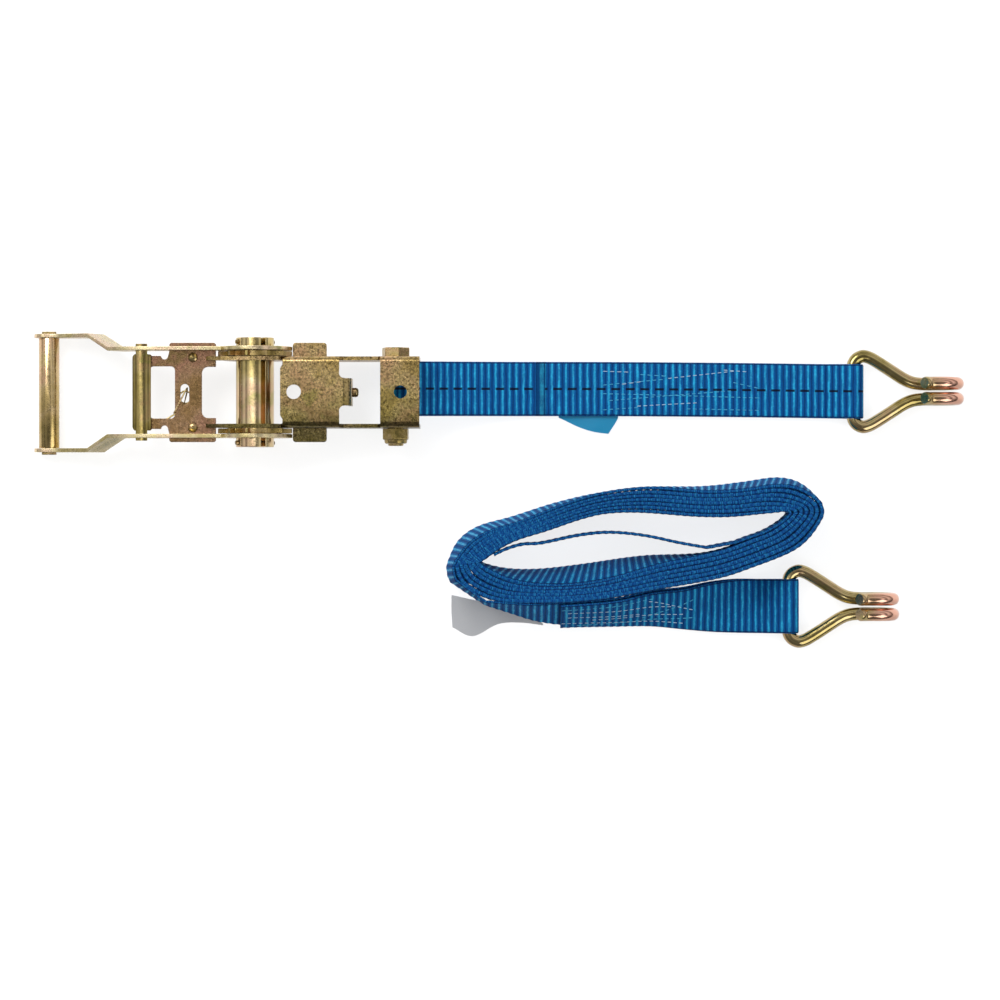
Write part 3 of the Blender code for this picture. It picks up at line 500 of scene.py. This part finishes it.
def easeEdges(node, width):
    node.data.shade_smooth()
    weld = node.modifiers.new("weld", "WELD")
    weld.merge_threshold = 0.00001
    flat = node.modifiers.new("flat", "DECIMATE")
    flat.decimate_type = "DISSOLVE"
    flat.angle_limit = math.radians(0.6)
    if width:
        bevel = node.modifiers.new("edges", "BEVEL")
        bevel.width = width * mm
        bevel.segments = 2
        bevel.limit_method = "ANGLE"
        bevel.angle_limit = math.radians(38)
        bevel.use_clamp_overlap = True
    normals = node.modifiers.new("normals", "WEIGHTED_NORMAL")
    normals.keep_sharp = True


for name, (finish, width) in metalPieces.items():
    nodes[name].data.materials.clear()
    nodes[name].data.materials.append(zinc[finish])
    easeEdges(nodes[name], width)
print("metal finished")


# webbing: a thick, ribbed band laid along a route

webbing = {
    "thick": 1.75 * mm, "layer": 1.15 * mm,  # layer is half the distance between two that are sewn together
    "step": 1.15 * mm, "across": 10, "edge": 0.35, "rounded": 0.45,
    "rib": 0.16 * mm, "pitch": 4.6 * mm,
}
layer = webbing["layer"]


def webbingPiece(name, route, material, closed=False):  # the route's rows: place, side, thickness
    stations, length = evenly(route, webbing["step"], closed=closed)
    count = len(stations)
    places = [Vector(row[:3]) for row in stations]
    sides = [Vector(row[3:6]).normalized() for row in stations]
    half, across = webWidth / 2, webbing["across"]
    verts = []
    rounded = webbing["thick"] * webbing["rounded"]
    profile = []  # across, and how thick the webbing is there
    for k in range(across + 1):
        profile.append((-half + rounded + (webWidth - 2 * rounded) * k / across, 1.0))
    profile = [(-half, webbing["edge"])] + profile + [(half, webbing["edge"])]
    ring = profile + profile[::-1]
    for i in range(count):
        if closed:
            along = places[(i + 1) % count] - places[i - 1]
        else:
            along = places[min(i + 1, count - 1)] - places[max(i - 1, 0)]
        side, thick = sides[i], stations[i][6]
        out = along.normalized().cross(side).normalized()
        travelled = length * i / (count if closed else count - 1)
        rib = webbing["rib"] * math.cos(2 * math.pi * travelled / webbing["pitch"])
        for k, (x, full) in enumerate(ring):
            face = 1 if k < len(profile) else -1
            lift = (thick / 2 + rib * (1 if full == 1 else 0)) * full
            verts.append(places[i] + side * x + out * lift * face)
    size = len(ring)
    faces, spans = [], []
    for i in range(count if closed else count - 1):
        j = (i + 1) % count
        for k in range(size):
            m = (k + 1) % size
            faces.append((i * size + k, i * size + m, j * size + m, j * size + k))
            spans.append((i, k, m))
    if not closed:
        faces.append(tuple(range(size)))
        faces.append(tuple(reversed(range((count - 1) * size, count * size))))
    piece = newPiece(name, verts, faces)
    uv = piece.data.uv_layers.new(name="UVMap")
    step = length / (count if closed else count - 1)
    for polygon, (i, k, m) in zip(piece.data.polygons, spans):
        ends = {i * size + k: (k, i), i * size + m: (m, i)}
        j = (i + 1) % count
        ends.update({j * size + m: (m, i + 1), j * size + k: (k, i + 1)})
        for loop in polygon.loop_indices:
            at, row = ends[piece.data.loops[loop].vertex_index]
            uv.data[loop].uv = ((ring[at][0] + half) / mm, row * step / mm)
    finishPiece(piece, material, "base")
    piece.data.set_sharp_from_angle(angle=math.radians(180))  # smooth all over
    return piece, length


def beside(rows, side):  # rows of x, z and how far off the webbing lies there: side 1 is above, -1 below
    out = []
    for i, (x, z, off) in enumerate(rows):
        ahead, behind = rows[min(i + 1, len(rows) - 1)], rows[max(i - 1, 0)]
        run = math.dist(ahead[:2], behind[:2])
        nx, nz = -(ahead[1] - behind[1]) / run, (ahead[0] - behind[0]) / run
        out.append((x + nx * off * side, z + nz * off * side))
    return out


# the short strap: a loop from the tail bolt to the hook's bar, both runs sewn together between

eyeRadius = 7.0 * mm - layer  # to the middle of the webbing where it goes round a hook's bar
shortStrap = {
    "boltEye": eyeRadius + 0.5 * mm,
    "skew": 1.3 * mm, "bow": 1.0 * mm,  # to the side, at the bolt and midway
    "fromBolt": [  # x and z from the bolt, and half the strap's thickness
        (8 * mm, -0.3 * mm, 6.2 * mm), (19 * mm, -1.8 * mm, 3.2 * mm), (34 * mm, -6.0 * mm, 2.3 * mm),
    ],
    "lying": [  # x from the bolt, and z from the floor
        (60 * mm, 7.0 * mm, 2.3 * mm), (84 * mm, 2.8 * mm, 2.3 * mm), (120 * mm, 2.4 * mm, 2.3 * mm),
    ],
    "middle": (90 * mm, 2.4 * mm, 2.3 * mm),
    "toBar": [(-26 * mm, 2.6 * mm, 2.3 * mm), (-14 * mm, 4.4 * mm, 3.6 * mm)],  # x from the bar
    "cutEnd": [24.6, 26.0, 27.5, 29.0, 30.4],
}


def shortY(x):
    t = min(1, max(0, (shortBar.x - x) / (shortBar.x - boltX)))
    return shortBar.y + shortStrap["skew"] * t + shortStrap["bow"] * 4 * t * (1 - t)


shortRows = [(boltX, boltZ, shortStrap["boltEye"] + layer)]
shortRows += [(boltX + x, boltZ + z, half) for x, z, half in shortStrap["fromBolt"]]
shortRows += [(boltX + x, z, half) for x, z, half in shortStrap["lying"]]
shortRows += [shortStrap["middle"]]
shortRows += [(shortBar.x + x, z, half) for x, z, half in shortStrap["toBar"]]
shortRows += [(shortBar.x, shortBar.z, eyeRadius + layer)]
shortMiddles = [(x, z, half - layer) for x, z, half in catmull(shortRows, 8)]
topRun = beside(shortMiddles, 1)
lowRun = beside(shortMiddles, -1)
loop = topRun[1:-1]
loop += arcPoints(shortBar.x, shortBar.z, eyeRadius, 80, -80, 16)
loop += lowRun[-2:0:-1]
loop += arcPoints(boltX, boltZ, shortStrap["boltEye"], 260, 100, 14)
shortRoute = [(x, shortY(x), z, 0, 1, 0, webbing["thick"]) for x, z in loop]
shortWeb, shortLength = webbingPiece("shortStrapWebbing", shortRoute, shortWebbing, closed=True)
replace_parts(shortWeb, "short_strap")
print(f"short strap, {shortLength:.3f} m of webbing")


def topHeight(x):  # the upper face of the short strap
    for (ax, az), (bx, bz) in zip(topRun, topRun[1:]):
        if ax <= x <= bx:
            return az + (bz - az) * (x - ax) / (bx - ax) + webbing["thick"] / 2
    return topRun[-1][1]


cutRoute = []  # the darker, heat-sealed end of the webbing
for x in (far * mm for far in shortStrap["cutEnd"]):
    cutRoute.append((x, shortY(x), topHeight(x) + 0.12 * mm, 0, 1, 0, 0.5 * mm))
webbingPiece("shortStrapCutEnd", cutRoute, burntWebbing)


# the long strap: wound on its edge, its sewn end twisting down flat to the hook

bundle = {  # places in millimetres, along the floor
    "turns": 7, "start": 0.385, "end": 0.02,  # the first turn starts, and the last ends, this far round
    "samples": 160,
    "leanOut": [(0.52, 0.17, 0.20)],  # how much, centred how far round, and over how much of a turn
    "leanIn": [(0.30, 0.93, 0.16), (0.22, 0.60, 0.14)],
    "thinnest": 1.5 * mm, "thickest": 3.2 * mm, "pressed": 0.28 * mm,  # how thick the drawn layers may be
    "outerTop": [
        (-34.6, -49.0), (-27.6, -33.9), (-14.8, -24.4), (6.4, -18.3), (34.7, -9.2), (62.9, -2.6), (92.0, 1.3),
        (130.3, 1.9), (157.3, 5.1), (179.8, 8.3), (195.0, 4.6), (206.0, -6.0), (207.6, -12.0),
    ],
    "outerLow": [
        (-34.6, -49.0), (-33.4, -57.2), (-26.3, -65.2), (-4.5, -72.3), (30.0, -73.0), (64.0, -70.6),
        (99.0, -64.6), (138.0, -57.6), (160.0, -50.5), (190.7, -37.4), (206.5, -18.5), (207.6, -12.0),
    ],
    "innerTop": [
        (-13.0, -47.0), (8.0, -33.8), (32.0, -26.2), (50.7, -20.0), (67.4, -16.2), (90.0, -15.6),
        (125.8, -18.0), (148.3, -18.0), (170.8, -15.4), (181.0, -13.6), (184.0, -15.0),
    ],
    "innerLow": [
        (-13.0, -47.0), (8.0, -49.6), (30.2, -48.7), (55.2, -44.8), (75.8, -41.3), (94.4, -39.4),
        (121.3, -39.5), (139.3, -36.9), (156.0, -30.6), (168.0, -26.4), (179.0, -20.0), (184.0, -15.0),
    ],
    "freeEnd": [
        (-4.5, -42.0), (3.5, -38.2), (14.0, -35.2), (26.0, -34.4), (50.0, -29.4), (70.0, -27.6),
        (92.0, -29.6), (114.0, -34.2), (132.0, -37.4),
    ],
    "lift": 0.3 * mm, "waver": 0.4 * mm,  # off the floor
}
shift = Vector((1.8, 0.2))  # from the long strap's points and the labels' to the frame's origin
samples = bundle["samples"]


def onFloor(x, y, z=0.0):  # a place in metres
    return Vector(((x + shift.x) * mm, (y + shift.y) * mm, z))


def fullLoop(low, top):  # along the bottom from the left tip, then back over the top
    first, _ = evenly([(x, y, 0) for x, y in catmull(low, 6)], count=samples // 2)
    second, _ = evenly([(x, y, 0) for x, y in catmull(top, 6)], count=samples // 2)
    return [Vector(p[:2]) for p in first[:-1] + second[:0:-1]]


outerLoop = fullLoop(bundle["outerLow"], bundle["outerTop"])
innerLoop = fullLoop(bundle["innerLow"], bundle["innerTop"])


def wound(turn, share):  # a place between the inner and outer loops, and how far apart they are
    at = (turn % 1) * samples
    i, t = int(at) % samples, at - int(at)
    j = (i + 1) % samples
    outer = outerLoop[i].lerp(outerLoop[j], t)
    inner = innerLoop[i].lerp(innerLoop[j], t)
    return inner.lerp(outer, share), (outer - inner).length * mm


def hump(at, centre, reach):  # 1 at the centre, falling smoothly to 0
    far = min(abs(at - centre), 1 - abs(at - centre)) / reach
    return max(0.0, 1 - far * far) ** 2


def tops(turn, share):  # where the layers' top edges lean to, as a share of the bundle's width
    at = turn % 1
    low = sum(size * hump(at, centre, reach) for size, centre, reach in bundle["leanOut"])
    high = sum(size * hump(at, centre, reach) for size, centre, reach in bundle["leanIn"])
    return low + (1 - low - high) * share


longRoute = []
thin = webbing["thick"]
for x, y in catmull(bundle["freeEnd"], 6):
    place = ((x + shift.x) * mm, (y + shift.y) * mm, webWidth / 2 + bundle["lift"])
    longRoute.append((*place, 0, 0, 1, thin))
turnsWound = bundle["turns"] + bundle["end"] - bundle["start"]
steps = int(turnsWound * samples)
for i in range(3, steps + 1):
    done = i / steps
    turn = bundle["start"] + turnsWound * done
    loose = 0.010 * math.sin(turn * 5.1 * math.pi) + 0.008 * math.sin(turn * 2.3 * math.pi + 1)
    share = 0.05 + 0.955 * done + loose * (1 - abs(2 * done - 1))
    foot, wide = wound(turn, share)
    head, _ = wound(turn, tops(turn, share))
    side = Vector(((head.x - foot.x) * mm, (head.y - foot.y) * mm, 0))
    side.z = math.sqrt(max(1e-9, webWidth**2 - side.length_squared))
    rise = bundle["lift"] + bundle["waver"] * abs(math.sin(turn * 3.7) * math.sin(turn * 11.3))
    place = onFloor(foot.x, foot.y, rise) + side / 2
    squeeze = tops(turn, 1) - tops(turn, 0)
    pitch = wide * 0.93 / turnsWound * (1 + squeeze) / 2
    filled = max(bundle["thinnest"], min(bundle["thickest"], pitch + bundle["pressed"]))
    fade = min(1, (1 - done) * 8, done * 12)
    longRoute.append((*place, *side.normalized(), thin + (filled - thin) * fade))

sewnEnd = {
    "rows": [  # x, the near edge's y, and how far the webbing leans up, in degrees
        (-10.0, -73.5, 85), (6.0, -78.8, 78), (20.0, -83.1, 72), (36.0, -85.9, 65.5), (50.0, -85.7, 64.5),
        (75.0, -85.4, 61), (97.0, -85.7, 51), (118.0, -88.1, 41), (136.0, -90.6, 24), (152.0, -92.1, 9),
        (164.0, -92.9, 0),
    ],
    "cutAt": 38,  # where the run that comes back from the hook ends
    "toBar": [(-19.6 * mm, 2.3 * mm, 2.3 * mm), (-12 * mm, 4.6 * mm, 3.9 * mm)],  # as on the short strap
}


def leaning(x, y, degrees, layerHeight):
    tilt = math.radians(degrees)
    side = Vector((0, math.cos(tilt), math.sin(tilt)))
    out = Vector((0, -math.sin(tilt), math.cos(tilt)))
    return onFloor(x, y, 0.2 * mm) + side * webWidth / 2 + out * layerHeight, side


flatStations = catmull(sewnEnd["rows"], 6)
for x, y, degrees in flatStations:
    place, side = leaning(x, y, degrees, layer)
    longRoute.append((*place, *side, thin))
eyeRows = [(longBar.x + x, z, half) for x, z, half in sewnEnd["toBar"]]
eyeRows += [(longBar.x, longBar.z, eyeRadius + layer)]
eyeMiddles = [(x, z, half - layer) for x, z, half in catmull(eyeRows, 6)]
eyeLoop = beside(eyeMiddles, -1)[1:-1]
eyeLoop += arcPoints(longBar.x, longBar.z, eyeRadius, -80, 80, 16)
eyeLoop += beside(eyeMiddles, 1)[-2:0:-1]
for x, z in eyeLoop:
    longRoute.append((x, longY, z, 0, 1, 0, thin))
for x, y, degrees in reversed(flatStations):
    if x < sewnEnd["cutAt"]:
        break
    place, side = leaning(x, y, degrees, 3 * layer)
    longRoute.append((*place, *side, thin))
longWeb, longLength = webbingPiece("longStrapWebbing", longRoute, longWebbing)
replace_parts(longWeb, "long_strap_bundle", "long_strap_free_end", "long_strap_sewn_end", "long_strap_hook_eye")
print(f"long strap, {longLength:.3f} m of webbing")


# hooks: round wire bent double

hookShape = {  # in millimetres
    "wire": 4.1, "reach": 70.5, "halfWidth": 22.75, "barBend": 7.0, "curl": 11.5, "tine": 4.9, "low": 4.4,
    "arm": [(12, 21.2, -0.4), (19, 17, -0.9), (26, 12.5, -1.5), (33, 8.1, -2)],  # from the bend to the tine
}


def hookRoute(bar):
    low, tine, curl = hookShape["low"] - bar.z / mm, hookShape["tine"], hookShape["curl"]
    bend, width = hookShape["barBend"], hookShape["halfWidth"]
    half = [(0, 0, 0), (0, 8, 0)]
    for degrees in (0, 25, 50, 75, 95):
        a = math.radians(degrees)
        half.append((bend - bend * math.cos(a), width - bend + bend * math.sin(a), 0))
    half += hookShape["arm"] + [(39, 5.7, low), (46, tine, low)]
    centre = hookShape["reach"] - hookShape["wire"] - curl
    for i in range(13):
        a = math.radians(-90 + 15 * i)
        half.append((centre + curl * math.cos(a), tine, low + curl * (1 + math.sin(a))))
    top = low + 2 * curl
    half += [(48, tine, top + 0.3), (43.5, tine, top + 3.6)]
    whole = [(x, -y, z) for x, y, z in reversed(half)][:-1] + half
    return [bar + Vector(p) * mm for p in whole]


def hookPiece(body, bar, material):
    smooth = catmull([tuple(p) for p in hookRoute(bar)], 5)
    bpy.ops.curve.primitive_nurbs_path_add()
    path = bpy.context.object
    path.name = body + "Wire"
    curve = path.data
    curve.splines.clear()
    spline = curve.splines.new("POLY")
    spline.points.add(len(smooth) - 1)
    for i, (point, place) in enumerate(zip(spline.points, smooth)):
        point.co = (*place, 1)
        point.radius = 1 if 0 < i < len(smooth) - 1 else 0.88  # the cut ends are a little narrower
    curve.dimensions = "3D"
    curve.bevel_depth = hookShape["wire"] * mm
    curve.bevel_resolution = 7
    curve.use_fill_caps = True
    selectOnly(path)
    bpy.ops.object.convert(target="MESH")
    piece = bpy.context.object
    piece.data.materials.clear()
    return finishPiece(piece, material, body)


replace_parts(hookPiece("short_hook", shortBar, shortHookZinc), "short_strap_hook")
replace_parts(hookPiece("long_hook", longBar, longHookZinc), "long_strap_hook")
print("hooks made")


# stitching: short threads pressed into the webbing

thread = {
    "length": 2.7 * mm, "gap": 1.1 * mm, "radius": 0.29 * mm, "sides": 5,
    "rings": ((0, 0.3, -0.25), (0.2, 1, 0.1), (0.8, 1, 0.1), (1, 0.3, -0.25)),  # how far along, size, rise
    "proud": 0.05 * mm,
}


def stitches(name, lines, surface, material):  # each line is a start and an end on the surface
    verts, faces = [], []
    for start, end in lines:
        run = Vector(end) - Vector(start)
        count = max(1, int(run.length / (thread["length"] + thread["gap"])))
        for i in range(count):
            a = Vector(start) + run * (i + 0.12) / count
            b = Vector(start) + run * (i + 0.82) / count
            first, last = surface(*a), surface(*b)
            along = (last - first).normalized()
            up = Vector((0, 0, 1)) - along * along.z
            up.normalize()
            side = along.cross(up)
            base, n = len(verts), thread["sides"]
            for t, size, rise in thread["rings"]:
                for k in range(n):
                    angle = 2 * math.pi * k / n
                    ring = (side * math.cos(angle) + up * math.sin(angle)) * thread["radius"] * size
                    verts.append(first.lerp(last, t) + ring + up * rise * mm)
            for r in range(3):
                for k in range(n):
                    m = (k + 1) % n
                    low, high = base + r * n, base + (r + 1) * n
                    faces.append((low + k, low + m, high + m, high + k))
            faces.append(tuple(base + k for k in range(n)))
            faces.append(tuple(base + 3 * n + k for k in reversed(range(n))))
    return finishPiece(newPiece(name, verts, faces), material, "base")


def onShort(x, y):  # a place on the short strap's upper face, y from its middle
    x += 1.2 * mm
    return Vector((x, shortY(x) + y, topHeight(x) + thread["proud"]))


def sewnAt(x, v):  # a place on the long strap's sewn end, v across from its near edge
    previous = flatStations[0]
    for row in flatStations[1:]:
        if (row[0] + shift.x) * mm >= x:
            break
        previous = row
    t = (x / mm - shift.x - previous[0]) / max(1e-6, row[0] - previous[0])
    t = min(1, max(0, t))
    y = previous[1] + (row[1] - previous[1]) * t
    degrees = previous[2] + (row[2] - previous[2]) * t
    height = 3 * layer + webbing["thick"] / 2 + thread["proud"]
    place, side = leaning(x / mm - shift.x, y, degrees, height)
    return place + side * (v - webWidth / 2)


def millimetres(*lines):
    return [tuple((x * mm, y * mm) for x, y in line) for line in lines]


shortWhite = millimetres(
    ((66, 11.5), (84, 11.0)), ((108, 7.0), (152, 12.2)), ((88, -11.0), (128, -8.5)), ((78, 3.0), (92, 5.0)),
    ((144, 12.8), (160, 11.8)),
)
shortCyan = millimetres(
    ((66, 2.5), (106, 6.5)), ((66, -3.0), (168, -5.0)), ((90, 9.5), (108, 8.5)), ((120, -12.5), (168, -13.0)),
    ((70, -7.5), (150, -0.5)), ((150, 5.0), (168, 1.0)), ((66, -13.5), (90, -11.8)),
)
longWhite = millimetres(
    ((44, 24), (112, 21)), ((44, 17), (92, 15)), ((40, 8), (120, 6)), ((96, 28), (126, 17)),
    ((60, 12), (120, 14)),
)
longCyan = millimetres(((40, 29), (100, 30)), ((50, 4), (126, 11)), ((92, 10), (126, 26)))
stitches("shortStitchingWhite", shortWhite, onShort, whiteThread)
stitches("shortStitchingBlue", shortCyan, onShort, cyanThread)
stitches("longStitchingWhite", longWhite, sewnAt, whiteThread)
stitches("longStitchingBlue", longCyan, sewnAt, cyanThread)
print("stitching made")


# labels: thin cloth tags, each a curved sheet with a wall

blueTagShape = {
    "thick": 0.35 * mm,
    "rows": [  # points across the label, in millimetres
        [(37, 47.9, 1.6), (50, 48.2, 1.5), (62, 48.2, 1.5), (76, 48.2, 1.6)],
        [(37.5, 46.4, 1.3), (50, 44.2, 1.2), (62, 41.2, 1.6), (75, 44.5, 1.0)],
        [(38.5, 46.0, 1.0), (50, 40.4, 1.1), (60, 37.2, 1.3), (69.5, 35.9, 0.8)],
    ],
}
whiteTagShape = {
    "thick": 0.3 * mm,
    "rows": [
        [(-31.9, -68.3, 3.0), (-32.0, -78.8, 1.2), (-31.4, -89.3, 0.5)],
        [(-18.2, -71.3, 6.5), (-18.0, -82.8, 3.4), (-18.2, -95.0, 0.6)],
        [(-2.0, -74.5, 5.0), (-2.0, -80.5, 3.0), (-2.0, -87.2, 0.8)],
        [(12.0, -79.6, 3.2), (12.4, -83.2, 2.2), (12.6, -86.2, 0.8)],
        [(27.0, -86.6, 1.2), (27.2, -87.2, 0.9), (27.4, -87.9, 0.6)],
    ],
}


def labelPiece(name, shape, material):
    bands = [catmull(row, 6) for row in shape["rows"]]
    grid = [catmull([band[k] for band in bands], 6) for k in range(len(bands[0]))]
    wide, deep = len(grid), len(grid[0])
    verts = [onFloor(x, y, z * mm) for line in grid for x, y, z in line]
    faces = []
    for i in range(wide - 1):
        for k in range(deep - 1):
            near, far = i * deep + k, (i + 1) * deep + k
            faces.append((near, far, far + 1, near + 1))
    piece = newPiece(name, verts, faces)
    wall = piece.modifiers.new("wall", "SOLIDIFY")
    wall.thickness = shape["thick"]
    wall.offset = 0
    selectOnly(piece)
    bpy.ops.object.modifier_apply(modifier="wall")
    return finishPiece(piece, material, "base")


blueTag = labelPiece("shortStrapTag", blueTagShape, blueLabelCloth)
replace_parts(blueTag, "short_strap_label")
whiteTag = labelPiece("longStrapTag", whiteTagShape, whiteLabelCloth)
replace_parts(whiteTag, "long_strap_label")
print("labels made")


# floor, light and camera

floorShape = {"size": 6, "drop": 0.6 * mm, "glow": 0.55, "alpha": 0.45}  # see-through, for the folded handle
bpy.ops.mesh.primitive_plane_add(size=floorShape["size"], location=(0, 0, -floorShape["drop"]))
floor = bpy.context.object
floor.name = "floor"
floorLook = bpy.data.materials.new("paleFloor")
floorLook.use_nodes = True
shader = floorLook.node_tree.nodes["Principled BSDF"]
shader.inputs["Base Color"].default_value = (0.9, 0.9, 0.9, 1)
shader.inputs["Roughness"].default_value = 0.9
shader.inputs["Specular IOR Level"].default_value = 0.1
shader.inputs["Emission Color"].default_value = (1, 1, 1, 1)
shader.inputs["Emission Strength"].default_value = floorShape["glow"]
shader.inputs["Alpha"].default_value = floorShape["alpha"]
floor.data.materials.append(floorLook)


lights = {  # each one's place, size in metres and power in watts
    "windowLight": ((-0.7, 0.9, 1.3), (1.0, 0.6), 13),
    "fillLight": ((0.9, -0.8, 1.1), (1.0, 1.0), 7),
    "topStrip": ((-0.5, 0.1, 1.9), (0.12, 1.4), 1.5),
}
for name, (place, size, power) in lights.items():
    bpy.ops.object.light_add(type="AREA", location=place)
    lamp = bpy.context.object
    lamp.name = name
    lamp.data.shape = "RECTANGLE"
    lamp.data.size, lamp.data.size_y = size
    lamp.data.energy = power
    aim = -Vector(place)
    lamp.rotation_euler = aim.to_track_quat("-Z", "Y").to_euler()
print("floor and lights placed")

world = bpy.data.worlds.new("studio")
world.use_nodes = True
bpy.context.scene.world = world
tree = world.node_tree
sky = tree.nodes["Background"]
_, northwards, upwards = split(tree, coordinates(tree, "Generated"))
greys = (  # from below to straight up
    (0.0, 0.80), (0.49, 0.80), (0.51, 0.08), (0.62, 0.45), (0.72, 0.85), (0.82, 0.14), (0.90, 0.95),
    (0.97, 0.24), (1.0, 0.20),
)
height = spread(tree, upwards, -1, 1, 0, 1, False)
bands = colours(tree, height, [(place, (grey, grey, grey)) for place, grey in greys])
rays = tree.nodes.new("ShaderNodeLightPath")
dimming = spread(tree, northwards, -0.55, 0.25, 0.30, 1.15)  # the room is darker in front
studio = blendColour(tree, 1.0, bands, dimming, "MULTIPLY")
seen = blendColour(tree, rays.outputs["Is Camera Ray"], studio, (1, 1, 1, 1))
tree.links.new(seen, sky.inputs["Color"])
sky.inputs["Strength"].default_value = 1.0

view = {"x": 1.2 * mm, "y": -6.7 * mm, "height": 2.4, "across": 0.642, "objectHeight": 0.02}
bpy.ops.object.camera_add(location=(view["x"], view["y"], view["height"]), rotation=(0, 0, 0))
camera = bpy.context.object
camera.data.angle = 2 * math.atan(view["across"] / 2 / (view["height"] - view["objectHeight"]))
bpy.context.scene.camera = camera
bpy.context.scene.view_settings.view_transform = "Standard"
